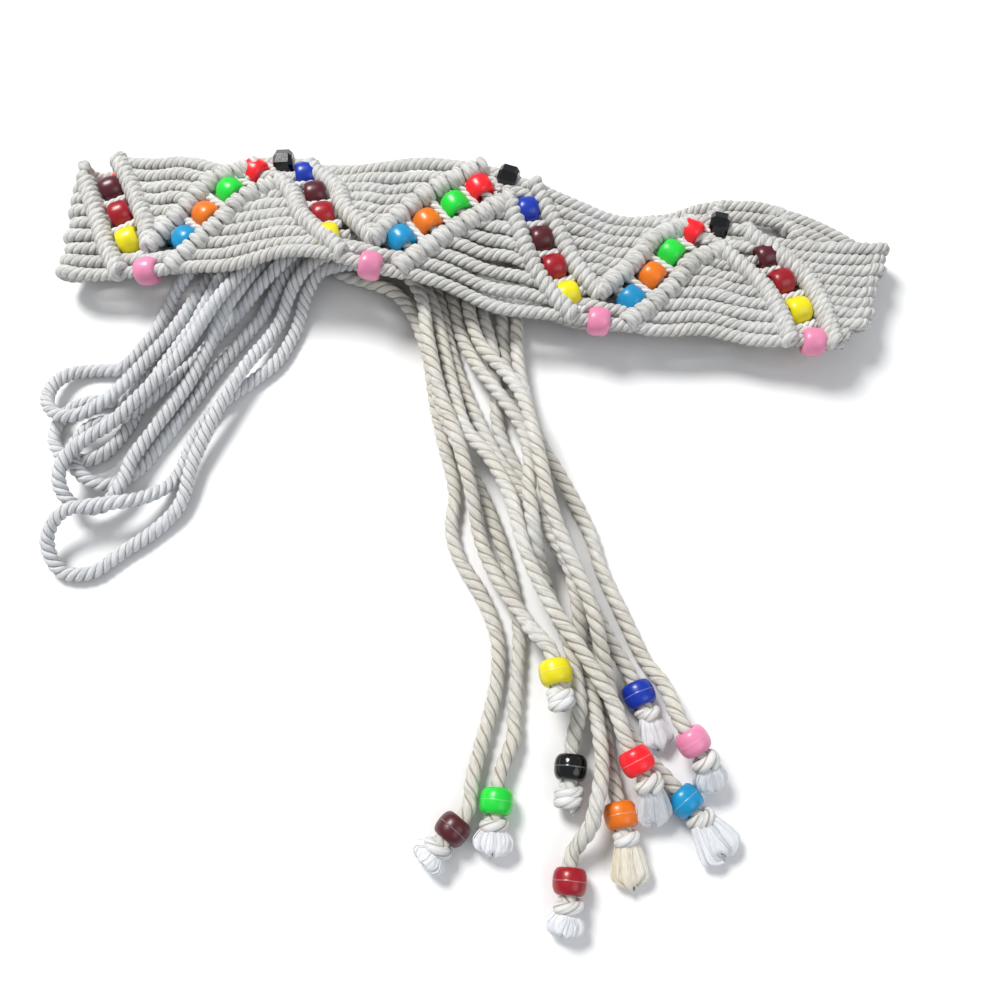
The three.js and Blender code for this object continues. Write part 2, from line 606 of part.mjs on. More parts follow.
// A fringe cord ends in its bead, the knot that holds the bead, and a frayed tuft
function fringeCord(route) {
  const start = startOf(route.cord, 'fringe');
  const lead = startOf(route.cord, 'fringe', cordDiameter);
  const knotAt = route.points[route.points.length - 1];
  const heading = new THREE.Vector2(route.tip[0] - knotAt[0], route.tip[1] - knotAt[1]).normalize();
  const beadHalf = beadLength / 2;
  const knotCentre = beadHalf + knotLength / 2;
  const past = [knotAt[0] + heading.x * knotCentre, knotAt[1] + heading.y * knotCentre];
  const plan = [[start.x, start.y], [lead.x, lead.y], ...route.points, past, route.tip];
  const tail = Math.hypot(route.tip[0] - knotAt[0], route.tip[1] - knotAt[1]);
  const radiusAt = (s, length) => {
    const fromBead = s - (length - tail);
    if (fromBead < -beadHalf - laySpacing) return cordDiameter / 2;
    return fromBead < beadHalf + knotLength ? beadDiameter / 2 : tuftThickness / 2;
  };
  const samples = layCord(plan, radiusAt, false);
  laid.push(...samples);
  return { samples, tail, heading, start };
}

// The knot and the frayed tuft beyond it: along is a share of the tuft's length past the knot's
// middle, wide and thick are shares of the tuft's or the knot's own size
const tuftSides = 8;
const knotRows = [
  { along: -0.5, wide: 0.45, thick: 0.45 },
  { along: -0.15, wide: 1, thick: 1 },
  { along: 0.3, wide: 0.92, thick: 0.92 },
];
const tuftRows = [
  { along: 0.42, wide: 0.6, thick: 0.9 },
  { along: 0.72, wide: 1, thick: 1 },
  { along: 1, wide: 0.75, thick: 0.4 },
];
function knotAndTuft(length, width) {
  const ring = (x, halfWidth, halfThickness) => Array.from({ length: tuftSides }, (_, k) => {
    const angle = 2 * Math.PI * k / tuftSides;
    return new THREE.Vector3(x, Math.cos(angle) * halfWidth, Math.sin(angle) * halfThickness);
  });
  return skin([
    ...knotRows.map((row) => ring(
      row.along * knotLength, row.wide * knotDiameter / 2, row.thick * knotDiameter / 2)),
    ...tuftRows.map((row) => ring(row.along * length, row.wide * width / 2, row.thick * tuftThickness / 2)),
  ]);
}

fringeRoutes.forEach((route) => {
  const { samples, tail } = fringeCord(route);
  const total = samples[samples.length - 1].s;
  const curve = new THREE.CatmullRomCurve3(
    samples.map((a) => new THREE.Vector3(a.x, a.y, a.z)), false, 'centripetal');
  const beadShare = (total - tail) / total;
  const beadCentre = along(curve, beadShare);
  const knotCentre = along(curve, beadShare + (beadLength / 2 + clearance + knotLength / 2) / total);
  knotCentre.z = Math.max(knotCentre.z, knotDiameter / 2 + clearance);
  const axis = knotCentre.clone().sub(beadCentre).normalize();
  const up = new THREE.Vector3(0, 0, 1);
  const side = up.clone().cross(axis).normalize();
  const top = axis.clone().cross(side);

  const cordPoints = [];
  const stepCount = Math.round(total * beadShare / laySpacing);
  for (let k = 0; k < stepCount; k += 2) cordPoints.push(along(curve, beadShare * k / stepCount));
  cordPoints.push(beadCentre.clone().addScaledVector(axis, -beadLength));
  cordPoints.push(beadCentre.clone());
  cordPoints.push(knotCentre.clone());
  const tuftLength = Math.hypot(route.tip[0] - knotCentre.x, route.tip[1] - knotCentre.y);
  const tipPoint = new THREE.Vector3(route.tip[0], route.tip[1], tuftThickness / 2 + clearance);
  const tuftAxis = tipPoint.clone().sub(knotCentre).normalize();
  const tuftSide = up.clone().cross(tuftAxis).normalize();
  const tuftTop = tuftAxis.clone().cross(tuftSide);
  const tuft = knotAndTuft(tuftLength, route.tuftWidth);
  tuft.applyMatrix4(new THREE.Matrix4().makeBasis(tuftAxis, tuftSide, tuftTop).setPosition(knotCentre));
  const whole = mainPiece(solid(tube(cordPoints)).add(solid(tuft)));
  addMesh('fringe_cord_' + route.name, geometryOf(whole), cordMaterial);
  const bead = beadGeometry();
  bead.applyMatrix4(new THREE.Matrix4().makeBasis(side, axis, top.clone().negate()).setPosition(beadCentre));
  addMesh('fringe_bead_' + route.name, bead, beadMaterial(route.name));
});

loopRoutes.forEach((route) => {
  const first = startOf(route.cord, 'loop', loopStart);
  const second = startOf(route.cord + 1, 'loop', loopStart);
  const firstLead = startOf(route.cord, 'loop', cordDiameter);
  const secondLead = startOf(route.cord + 1, 'loop', cordDiameter);
  const plan = [[second.x, second.y], [secondLead.x, secondLead.y], ...route.points,
    [firstLead.x, firstLead.y], [first.x, first.y]];
  const samples = layCord(plan, () => cordDiameter / 2, true);
  laid.push(...samples);
  const points = samples.filter((_, i) => i % 2 === 0 || i === samples.length - 1)
    .map((a) => new THREE.Vector3(a.x, a.y, a.z));
  addMesh(route.name, tube(points), cordMaterial);
});

// The origin is the middle of the band's footprint, on the surface that it lies on
const footprint = new THREE.Box3();
onFloor.forEach((mesh) => footprint.expandByObject(mesh));
const centre = footprint.getCenter(new THREE.Vector3());
model.position.set(-centre.x, -centre.y, -footprint.min.z);

export default root;
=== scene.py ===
# A knotted cord belt with beads, lying flat as a flattened ring.
# Lengths are worked out in millimetres, in the layout's own frame, and become metres in the meshes.
import math
import random

import bpy
import numpy as np
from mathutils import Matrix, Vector

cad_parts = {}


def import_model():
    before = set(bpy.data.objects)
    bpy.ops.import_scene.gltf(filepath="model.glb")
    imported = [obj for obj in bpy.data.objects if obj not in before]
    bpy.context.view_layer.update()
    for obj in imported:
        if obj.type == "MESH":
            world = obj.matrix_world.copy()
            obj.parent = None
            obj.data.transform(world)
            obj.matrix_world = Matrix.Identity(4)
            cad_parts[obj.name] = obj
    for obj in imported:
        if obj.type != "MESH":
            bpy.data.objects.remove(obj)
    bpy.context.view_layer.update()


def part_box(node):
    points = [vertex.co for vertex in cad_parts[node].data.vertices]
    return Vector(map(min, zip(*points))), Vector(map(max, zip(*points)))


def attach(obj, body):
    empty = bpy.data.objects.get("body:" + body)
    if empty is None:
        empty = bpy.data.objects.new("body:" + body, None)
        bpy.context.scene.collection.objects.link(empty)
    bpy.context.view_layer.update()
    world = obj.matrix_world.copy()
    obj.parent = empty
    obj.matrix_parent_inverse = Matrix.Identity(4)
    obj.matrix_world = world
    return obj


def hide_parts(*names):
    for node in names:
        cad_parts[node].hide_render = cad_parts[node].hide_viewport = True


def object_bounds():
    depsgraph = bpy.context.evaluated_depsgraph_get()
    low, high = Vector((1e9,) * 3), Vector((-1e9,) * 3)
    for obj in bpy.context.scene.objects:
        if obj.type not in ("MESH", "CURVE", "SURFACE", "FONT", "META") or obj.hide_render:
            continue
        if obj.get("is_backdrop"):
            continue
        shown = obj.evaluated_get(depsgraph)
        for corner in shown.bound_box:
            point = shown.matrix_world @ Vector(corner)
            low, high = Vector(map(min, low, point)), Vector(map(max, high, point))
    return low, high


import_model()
METRE = 0.001
rng = random.Random(11)
bpy.context.scene.view_settings.view_transform = "Standard"

# Cord and band
CORD = 4.3
CORDS = 10
PITCH = CORD + 0.14
BAND_WIDTH = (CORDS - 1) * PITCH + CORD
HALF_SPREAD = (CORDS - 1) * PITCH / 2
CLEARANCE = 0.3

# Beads
BEAD = 9
BEAD_LENGTH = 6.8
BEAD_HOLE = 4

# Ridges and the zigzag
RIDGE_WIDTH = 6.2
RIDGE_CREST = BEAD / 2
RIDGE_OFFSET = (BEAD_LENGTH + RIDGE_WIDTH) / 2 + 2 * CLEARANCE
CORNER_INSET = BAND_WIDTH / 5
CORNER_REACH = RIDGE_OFFSET + BEAD / 5

# Layout of the flattened ring
FRONT_LENGTH = 250
FRONT_LEFT = -136
FRINGE_END_LENGTH = 74
LOOP_END_LENGTH = 122
LOOP_END_RISE = 6.1
LOWER = BEAD / 2
UPPER = LOWER + BEAD

# How the free cords lie
LAY_SPACING = 2.5
LAY_GAP = 0.48
FLOOR_GAP = 0.1
OWN_REACH = 4 * CORD
HOLD_REACH = 4
BLEND_REACH = 3
KNOT = 9
KNOT_LENGTH = 7.5
TUFT_THICKNESS = 6
LOOP_START = 1

FRINGE_END = [
    (1.0, 2.3, 0, 0, 0.95, 0),
    (0.75, 2.3, 0, 0, 0.94, 0),
    (0.5, 2.29, 0, 0, 0.93, 0),
    (0.22, 2.26, 0, 0, 0.94, 0),
    (0, 2.2, 0, 0, 1.0, 0),
]
FRONT = [
    (0, 2.13, 0, 0, 1.08, 0),
    (0.056, 2.12, 0.03, 0, 1.1, 0),
    (0.14, 2.075, 0.4, 0, 1.0, 0),
    (0.196, 2.03, 0.72, -3, 0.94, 0),
    (0.276, 2.055, 0.93, -7, 0.92, 0),
    (0.326, 2.025, 0.97, -10, 0.89, 0),
    (0.377, 2.015, 0.93, -7, 1.0, 0),
    (0.416, 1.995, 0.86, -3, 1.03, 0),
    (0.486, 1.94, 0.83, 4, 1.06, 0),
    (0.558, 1.835, 0.73, 8, 1.1, 0),
    (0.62, 1.7, 0.56, 7, 1.0, 0),
    (0.668, 1.65, 0.36, 4, 0.94, 0),
    (0.734, 1.61, 0.14, 1, 0.98, 0),
    (0.808, 1.59, 0.04, 0, 0.95, 0),
    (0.872, 1.51, 0.02, 0, 0.92, 4),
    (0.938, 1.45, 0.02, 0, 0.91, 12),
    (1, 1.43, 0, 0, 0.93, 20),
]
LOOP_END = [
    (1, 1.54, 0, 0, 0.95, 20),
    (0.92, 1.74, 0, 0, 0.97, 13),
    (0.83, 1.87, 0, 0, 0.98, 6),
    (0.72, 1.94, 0, 0, 0.98, 0),
    (0.61, 1.9, 0, 0, 0.98, 0),
    (0.48, 1.79, 0.06, 0, 0.97, 0),
    (0.34, 1.72, 0.3, 0, 0.94, 0),
    (0.19, 1.8, 0.8, 0, 0.94, 0),
    (0, 1.985, 1, 0, 0.98, 0),
]
FRINGE_ROUTES = [
    {"name": "maroon", "cord": 1, "tip": (-17.5, -101.5), "points": [
        (-51, 83), (-43, 78.5), (-35, 73.5), (-27.5, 65), (-23.5, 51), (-20, 30.5), (-17.5, 18.5),
        (-13.5, 0.5), (-14.5, -10), (-12, -19.5), (-5.5, -30.5), (-1, -42.5), (-0.5, -52),
        (-2, -62), (-5, -73), (-8, -84), (-10, -89), (-12.5, -95.5),
    ]},
    {"name": "orange", "cord": 8, "tip": (34.5, -107), "points": [
        (-38, 115.5), (-21, 108), (-9, 95), (-2, 80), (0.5, 64), (1.5, 49.5), (3, 40), (7, 29.5),
        (11.5, 12), (16, -5), (21, -21), (25.5, -40), (27.5, -56), (29, -71.5), (30, -87), (32, -92),
    ]},
    {"name": "blue", "cord": 7, "tip": (42.5, -70), "points": [
        (-40, 111.5), (-25, 104.5), (-13.5, 92), (-7.5, 76), (-5.5, 62), (-2.5, 50), (-1.5, 35.5),
        (0, 21), (6, 7), (11.5, -7), (17, -18), (23.5, -30), (29.5, -42.5), (36, -55), (38.5, -60),
    ]},
    {"name": "pink", "cord": 9, "tip": (56.5, -81.5), "points": [
        (-35, 119), (-16, 111.5), (-4, 98.5), (3.5, 82), (5.5, 64), (5.5, 46.5), (8, 30.5),
        (12, 16.5), (20, 2), (26.5, -11), (29.5, -22.5), (35, -36), (40.5, -49), (46.5, -60),
        (49, -67), (51.5, -73.5),
    ]},
    {"name": "red", "cord": 4, "tip": (17, -120), "points": [
        (-46, 97), (-35, 93), (-25, 83), (-19.5, 69), (-16.5, 54.5), (-12.5, 40), (-7.5, 27),
        (-2.5, 15.5), (5, 0.5), (13, -12), (19.5, -24), (22, -38), (23, -51), (26, -65), (27, -80),
        (24, -94), (20.5, -103), (18, -108.5),
    ]},
    {"name": "black", "cord": 5, "tip": (18, -91), "points": [
        (-44, 102), (-31, 96.5), (-20.5, 84), (-15.5, 69), (-12, 54), (-6.5, 41), (1, 30),
        (6.5, 20.5), (8.5, 10), (8.5, -4), (10.5, -19), (15, -35), (19.5, -48.5), (21.5, -63.5),
        (20.5, -74), (19, -80),
    ]},
    {"name": "green", "cord": 0, "tip": (-2, -99), "points": [
        (-52, 78), (-43, 74), (-34, 69.5), (-28, 61.5), (-24.5, 52.5), (-21, 40), (-17.5, 27),
        (-11.5, 13), (-5, -0.5), (0.5, -15.5), (3.5, -28), (5.5, -40), (5, -52.5), (4, -66),
        (3, -78), (-1, -88.5),
    ]},
    {"name": "sky", "cord": 6, "tip": (58.5, -99.5), "points": [
        (-42, 107), (-28, 100), (-17, 88), (-11.5, 73), (-9, 58), (-5.5, 48), (1, 39), (6.5, 28.5),
        (10.5, 11), (14.5, -8.5), (19.5, -23), (24.5, -36), (28.6, -52.5), (32.2, -66.5), (39.5, -77),
        (46.5, -84.5), (49.5, -88.5),
    ]},
    {"name": "coral", "cord": 3, "tip": (41.5, -90), "points": [
        (-48, 92.5), (-38, 88.5), (-29, 80), (-22.5, 68), (-18, 50), (-15, 36.5), (-10.5, 20),
        (-3, 9), (3, -4), (6.5, -19.5), (13.5, -36), (20.5, -47.5), (27.5, -59), (33, -69.5),
        (36, -79),
    ]},
    {"name": "yellow", "cord": 2, "tip": (16.5, -64), "points": [
        (-50, 88), (-40, 83.5), (-32, 77), (-25.5, 66.5), (-22.5, 50), (-18.5, 32), (-13, 16),
        (-8.5, -0.5), (-5.5, -15), (-0.5, -27.5), (6.5, -38.5), (12, -49), (15, -56),
    ]},
]
LOOP_ROUTES = [
    {"name": "loop_4", "cord": 6, "points": [
        (-24, 94.5), (-36, 95), (-54, 97), (-69, 93), (-83, 79), (-93, 68), (-103, 54), (-111, 42),
        (-120, 33), (-130, 32), (-137, 26), (-137, 17), (-130, 12), (-122, 14), (-116, 22),
        (-110, 35), (-102, 50), (-93, 65), (-83, 79), (-69, 93), (-54, 97), (-36, 95), (-24, 94.5),
    ]},
    {"name": "loop_2", "cord": 2, "points": [
        (-24, 83.5), (-36, 84.6), (-50, 86), (-61, 83.5), (-69, 76.5), (-75, 67), (-82, 56),
        (-90, 44), (-97, 31), (-104, 19), (-111, 8), (-119, 3), (-127, 7), (-129, 15), (-124, 22),
        (-116, 24), (-107, 32), (-99, 44), (-91, 56), (-81, 66), (-69, 76.5), (-61, 83.5),
        (-50, 86), (-36, 84.6), (-24, 83.5),
    ]},
    {"name": "loop_3", "cord": 4, "points": [
        (-24, 89), (-36, 89.8), (-52, 91.5), (-65, 88.5), (-76, 77.5), (-85, 64), (-92, 48),
        (-99, 33), (-106, 20), (-111, 10), (-113, 2), (-119, -5), (-128, -3), (-130, 6),
        (-125, 14), (-118, 19), (-111, 27), (-103, 38), (-95, 51), (-86, 64), (-76, 77.5),
        (-65, 88.5), (-52, 91.5), (-36, 89.8), (-24, 89),
    ]},
    {"name": "loop_5", "cord": 8, "points": [
        (-24, 100.5), (-36, 100.2), (-55, 102.5), (-73, 98), (-88, 83), (-96, 70), (-104, 55),
        (-112, 43), (-119, 31), (-125, 25), (-134, 24), (-140, 31), (-138, 40), (-130, 43.5),
        (-121, 44), (-114, 53), (-106, 67), (-96, 76.5), (-88, 83), (-73, 98), (-55, 102.5),
        (-36, 100.2), (-24, 100.5),
    ]},
    {"name": "loop_1", "cord": 0, "points": [
        (-24, 74.5), (-36, 75.5), (-48, 77.5), (-57, 76.5), (-62.5, 70), (-66, 58), (-71, 47),
        (-79, 39), (-88, 31), (-94, 21), (-97, 10), (-101, 2), (-109, -4), (-118, -6), (-127, -8),
        (-132, -15), (-129, -23), (-120, -24), (-112, -18), (-103, -11), (-96, -3), (-93, 11),
        (-87, 27), (-80, 42), (-72, 58), (-66, 71), (-58, 78.5), (-48, 81), (-36, 79.8),
        (-24, 78.8),
    ]},
]
PLAIN_RISE = [(0.26, -0.4), (0.45, 0.05), (0.64, 0.5), (0.82, 0.88)]
PLAIN_FALL = [(0.25, 0.6), (0.4, 0.18), (0.53, -0.26), (0.67, -0.68)]
# The zigzag's rows: whether it rises, its ends as shares of the front's path, the corner bead's
# place across, and the other beads' places along and across
ROWS = [
    (False, -0.3, -0.2, None, PLAIN_FALL),
    (True, -0.2, -0.06, None, PLAIN_RISE),
    (False, 0, 0.097, -1, [
        (0.317, 0.5), (0.5, 0.04), (0.676, -0.43),
    ]),
    (True, 0.097, 0.261, 1.1, [
        (0.289, -0.475), (0.432, -0.01), (0.606, 0.5), (0.782, 0.93),
    ]),
    (False, 0.261, 0.3825, -1.06, [
        (0.249, 0.84), (0.372, 0.38), (0.483, -0.12), (0.561, -0.625),
    ]),
    (True, 0.3825, 0.5526, 0.95, [
        (0.207, -0.43), (0.393, -0.05), (0.595, 0.325), (0.78, 0.69),
    ]),
    (False, 0.5526, 0.6677, -1.05, [
        (0.222, 0.54), (0.38, 0.15), (0.52, -0.25), (0.67, -0.655),
    ]),
    (True, 0.6677, 0.8272, 1.12, [
        (0.265, -0.55), (0.444, -0.05), (0.604, 0.42), (0.778, 0.9),
    ]),
    (False, 0.8272, 0.9469, -0.96, [
        (0.45, 0.638), (0.606, 0.163), (0.795, -0.363),
    ]),
    (True, 1.06, 1.2, None, []),
    (False, 1.2, 1.31, None, []),
    (True, 1.31, 1.45, None, PLAIN_RISE),
    (False, 1.45, 1.55, None, []),
]

# Section columns: along, across, lift, tilt, spread, skew, as shares of the layer's length, of the
# band's width and of the bead, and in degrees
X, Y, Z, TILT, SPREAD, SKEW = range(6)


def layer(table, left, length, level, lift):
    rows = []
    for along, across, up, tilt, spread, skew in table:
        rows.append(np.array([
            left + along * length, across * BAND_WIDTH, level + up * lift, tilt, spread, skew]))
    return rows


def catmull(a, b, c, d, t):
    into, out = (c - a) / 2, (d - b) / 2
    return ((2 * t**3 - 3 * t**2 + 1) * b + (t**3 - 2 * t**2 + t) * into
            + (3 * t**2 - 2 * t**3) * c + (t**3 - t**2) * out)


class Path:
    """The band's path through its layers and folds, sampled about every `spacing`."""

    def __init__(self, spacing, fold_steps):
        layers = [
            layer(FRINGE_END, FRONT_LEFT, FRINGE_END_LENGTH, LOWER, BEAD),
            layer(FRONT, FRONT_LEFT, FRONT_LENGTH, UPPER, BEAD),
            layer(LOOP_END, FRONT_LEFT + FRONT_LENGTH - LOOP_END_LENGTH, LOOP_END_LENGTH,
                  LOWER, LOOP_END_RISE),
        ]
        rows, marks = [], []
        for k, table in enumerate(layers):
            if k:
                rows += self.fold(rows[-1], table[0], -1 if k == 1 else 1, fold_steps)
            for i in range(len(table) - 1):
                four = [table[max(0, i - 1)], table[i], table[i + 1],
                        table[min(len(table) - 1, i + 2)]]
                marks.append(len(rows))
                count = max(1, int(abs(table[i + 1][X] - table[i][X]) / spacing + 0.5))
                rows += [catmull(*four, j / count) for j in range(count)]
            marks.append(len(rows))
            rows.append(table[-1])
            if k == 0:
                self.fringe = (table[0][X], table[0][Y])
        self.rows = np.array(rows)
        self.points = self.rows[:, :3]
        steps = np.linalg.norm(np.diff(self.points, axis=0), axis=1)
        self.at = np.concatenate([[0], np.cumsum(steps)])
        self.length = self.at[-1]
        self.marks = self.at[marks]
        self.front_start = self.at[marks[len(FRINGE_END)]]
        self.front_run = self.at[marks[len(FRINGE_END) + len(FRONT) - 1]] - self.front_start
        before = np.concatenate([self.points[:1], self.points[:-1]])
        after = np.concatenate([self.points[1:], self.points[-1:]])
        tangent = unit(after - before)
        tilt, skew = np.radians(self.rows[:, TILT]), np.radians(self.rows[:, SKEW])
        self.across = np.stack([
            np.sin(skew) * np.cos(tilt), np.cos(skew) * np.cos(tilt), np.sin(tilt)], axis=1)
        self.normal = unit(np.cross(tangent, self.across))

    @staticmethod
    def fold(start, end, outward, steps):
        radius = abs(end[Z] - start[Z]) / 2
        rows = []
        for k in range(1, steps):
            share = k / steps
            row = start + (end - start) * share
            row[X] += outward * radius * math.sin(math.pi * share)
            row[Z] = (start[Z] + end[Z]) / 2 + (start[Z] - end[Z]) / 2 * math.cos(math.pi * share)
            rows.append(row)
        return rows

    def place(self, u, v, n):
        """Points of the band at u along it, v across it and n up from its middle."""
        u, v, n = np.broadcast_arrays(*(np.asarray(x, float) for x in (u, v, n)))
        i = np.clip(np.searchsorted(self.at, u, "left") - 1, 0, len(self.at) - 2)
        t = ((u - self.at[i]) / (self.at[i + 1] - self.at[i]))[..., None]
        mix = lambda a: a[i] + (a[i + 1] - a[i]) * t
        spread = mix(self.rows[:, SPREAD:SPREAD + 1])
        return (mix(self.points) + mix(self.across) * v[..., None] * spread
                + unit(mix(self.normal)) * n[..., None])


def unit(v):
    return v / np.maximum(np.linalg.norm(v, axis=-1, keepdims=True), 1e-9)


coarse = Path(20, 5)
fine = Path(3, 14)


def band(u, v, n):
    """The smooth band at the solids' own measure along it."""
    u = np.asarray(u, float)
    inside = np.interp(u, coarse.marks, fine.marks)
    beyond = np.where(u < 0, u, 0) + np.where(u > coarse.length, u - coarse.length, 0)
    return fine.place(inside + beyond, v, n)


# The zigzag: corner beads and the beads between them
RISE_COLOURS = ["sky", "orange", "green", "coral"]
FALL_COLOURS = ["blue", "maroon", "red", "yellow"]
PLAIN_CORNER = 1.02
PLAIN_CLIMB = 1.3
PLAIN_RUN = 0.5
EDGE_SLACK = 0.01
LEAST_STEP = 1
# The last ridge that shows runs on past its row, down to the lower edge
LAST_ROW = 0.9
LAST_RIDGE_PAST = 7
LAST_RIDGE_INSET = 0.5


def zigzag():
    found = []
    for rises, start, end, corner, table in ROWS:
        start = coarse.front_start + start * coarse.front_run
        end = coarse.front_start + end * coarse.front_run
        shown = corner is not None
        across = corner if shown else (PLAIN_CORNER if rises else -PLAIN_CORNER)
        colours = (RISE_COLOURS if rises else FALL_COLOURS)[-len(table):] if table else []
        beads = [{"u": start + along * (end - start), "v": across_ * HALF_SPREAD, "colour": colour}
                 for (along, across_), colour in zip(table, colours)]
        climb = (1 if rises else -1) * HALF_SPREAD * PLAIN_CLIMB
        run = (end - start) * PLAIN_RUN
        if beads:
            climb, run = beads[-1]["v"] - beads[0]["v"], beads[-1]["u"] - beads[0]["u"]
        turn = math.atan2(climb, run)
        turn += -math.pi / 2 if turn > 0 else math.pi / 2
        for bead in beads:
            bead["turn"] = turn
        found.append({
            "rises": rises, "start": start, "end": end, "beads": beads, "turn": turn, "shown": shown,
            "last": shown and end > coarse.front_start + LAST_ROW * coarse.front_run,
            "corner": {"u": end, "v": across * HALF_SPREAD, "turn": 0,
                       "colour": "black" if rises else "pink"}})
    return found


def ridge_lines(row):
    """The ridge above and the ridge below a row of beads, as points along and across the band."""
    rise = 1 if row["rises"] else -1
    edge = HALF_SPREAD
    run, climb = -rise * math.sin(row["turn"]), rise * math.cos(row["turn"])
    lines = {}
    for side in (1, -1):
        middle = [(b["u"] - side * climb * RIDGE_OFFSET, b["v"] + side * run * RIDGE_OFFSET)
                  for b in row["beads"][1:3]] if row["shown"] else []
        if side == rise:
            ends = (row["start"], -rise * (edge - CORNER_INSET)), (row["end"] - CORNER_REACH, rise * edge)
        else:
            ends = (row["start"] + CORNER_REACH, -rise * edge), (row["end"], rise * (edge - CORNER_INSET))
        line = [p for p in (ends[0], *middle, ends[1]) if abs(p[1]) <= edge + EDGE_SLACK]
        if row["last"] and side == 1:
            line.append((row["end"] + LAST_RIDGE_PAST, -edge + LAST_RIDGE_INSET))
        lines[side] = [p for i, p in enumerate(line) if i == 0 or p[0] > line[i - 1][0] + LEAST_STEP]
    return lines


def bead_frame(bead):
    step = BEAD_LENGTH / 2
    back, ahead = (coarse.place(bead["u"] + d, bead["v"], 0) for d in (-step, step))
    near, far = (coarse.place(bead["u"], bead["v"] + d, 0) for d in (-step, step))
    centre = (back + ahead + near + far) / 4
    u = unit(ahead - back)
    n = unit(np.cross(u, unit(far - near)))
    w = np.cross(n, u)
    axis = u * math.cos(bead["turn"]) + w * math.sin(bead["turn"])
    return centre, axis, n


diagonals = zigzag()
front_beads = []
hidden_beads = []
for diagonal in diagonals:
    for bead in [*diagonal["beads"], *([diagonal["corner"]] if diagonal["shown"] else [])]:
        centre, axis, n = bead_frame(bead)
        bead.update(centre=centre, axis=axis, normal=n)
        (front_beads if diagonal["shown"] else hidden_beads).append(bead)

# The layout's place in the frame, from the beads' boxes
offsets = []
for k, bead in enumerate(front_beads):
    bead["node"] = "bead_%02d_%s" % (k + 1, bead["colour"])
    low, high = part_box(bead["node"])
    offsets.append(np.array((low + high) / 2) / METRE - bead["centre"])
shift = np.mean(offsets, axis=0)


def world(points):
    return (np.asarray(points, float) + shift) * METRE


SPLINE_STEPS = 16
ROUTE_STEP = 0.5


def spline(points, spacing):
    """Points evenly spaced along a centripetal curve through the given ones."""
    p = np.asarray(points, float)
    p = np.concatenate([[2 * p[0] - p[1]], p, [2 * p[-1] - p[-2]]])
    dense = []
    for i in range(1, len(p) - 2):
        a, b, c, d = p[i - 1:i + 3]
        t0, t1, t2 = (max(1e-4, math.sqrt(np.linalg.norm(y - x))) for x, y in ((a, b), (b, c), (c, d)))
        into = ((b - a) / t0 - (c - a) / (t0 + t1) + (c - b) / t1) * t1
        out = ((c - b) / t1 - (d - b) / (t1 + t2) + (d - c) / t2) * t1
        t = np.linspace(0, 1, SPLINE_STEPS, endpoint=False)[:, None]
        dense.append((2 * t**3 - 3 * t**2 + 1) * b + (t**3 - 2 * t**2 + t) * into
                     + (3 * t**2 - 2 * t**3) * c + (t**3 - t**2) * out)
    dense = np.concatenate([*dense, p[-2:-1]])
    return even(dense, spacing)


def even(line, spacing):
    at = np.concatenate([[0], np.cumsum(np.linalg.norm(np.diff(line, axis=0), axis=1))])
    count = max(2, int(math.ceil(at[-1] / spacing)) + 1)
    targets = np.linspace(0, at[-1], count)
    return np.stack([np.interp(targets, at, line[:, k]) for k in range(line.shape[1])], axis=1)


def length_of(line):
    return float(np.linalg.norm(np.diff(line, axis=0), axis=1).sum())


def along(line, share):
    at = np.concatenate([[0], np.cumsum(np.linalg.norm(np.diff(line, axis=0), axis=1))])
    return np.array([np.interp(min(1, max(0, share)) * at[-1], at, line[:, k]) for k in range(3)])


# Cords lie in the order of their table, each on the floor, the band's lower layer and the cords
# that lie there already
laid = []


def support_at(x, y):
    """How high the lower layer holds a cord over the fringe's end of the band, or 0 beside it."""
    half = (BAND_WIDTH + CORD) / 2
    end_x, end_y = coarse.fringe
    over = FRONT_LEFT < x < end_x + 2 * CORD and abs(y - end_y) < half
    return LOWER + CORD / 2 + CLEARANCE if over else 0


def lay_cord(route, radius_at, supported):
    """A cord's line along its route, lifted over what lies there already and then smoothed."""
    plan = even(spline([(x, y, 0) for x, y in route], ROUTE_STEP), LAY_SPACING)
    total = length_of(plan)
    s = np.linspace(0, total, len(plan))
    r = np.array([radius_at(a, total) for a in s])
    z = np.zeros(len(plan))
    other = np.array(laid) if laid else np.zeros((0, 4))
    for i, (x, y, _) in enumerate(plan):
        height = r[i] + FLOOR_GAP + (support_at(x, y) if supported else 0)
        own = s[:i] < s[i] - OWN_REACH
        mine = np.stack([plan[:i, 0], plan[:i, 1], z[:i], r[:i]], axis=1)[own]
        near = np.concatenate([other, mine])
        reach = r[i] + near[:, 3]
        rise = np.sqrt(np.maximum(0, reach**2 - (near[:, 0] - x)**2 - (near[:, 1] - y)**2))
        lifted = near[rise > 0, 2] + (rise * (1 + LAY_GAP / reach))[rise > 0]
        z[i] = max([height, *lifted])
    held = np.array([z[max(0, i - HOLD_REACH):i + HOLD_REACH + 1].max() for i in range(len(z))])
    z = np.array([held[max(0, i - BLEND_REACH):i + BLEND_REACH + 1].mean() for i in range(len(z))])
    laid.extend(np.stack([plan[:, 0], plan[:, 1], z, r], axis=1))
    return np.stack([plan[:, 0], plan[:, 1], z], axis=1)


def start_of(cord, u):
    return coarse.place(u, (cord - (CORDS - 1) / 2) * PITCH, 0)


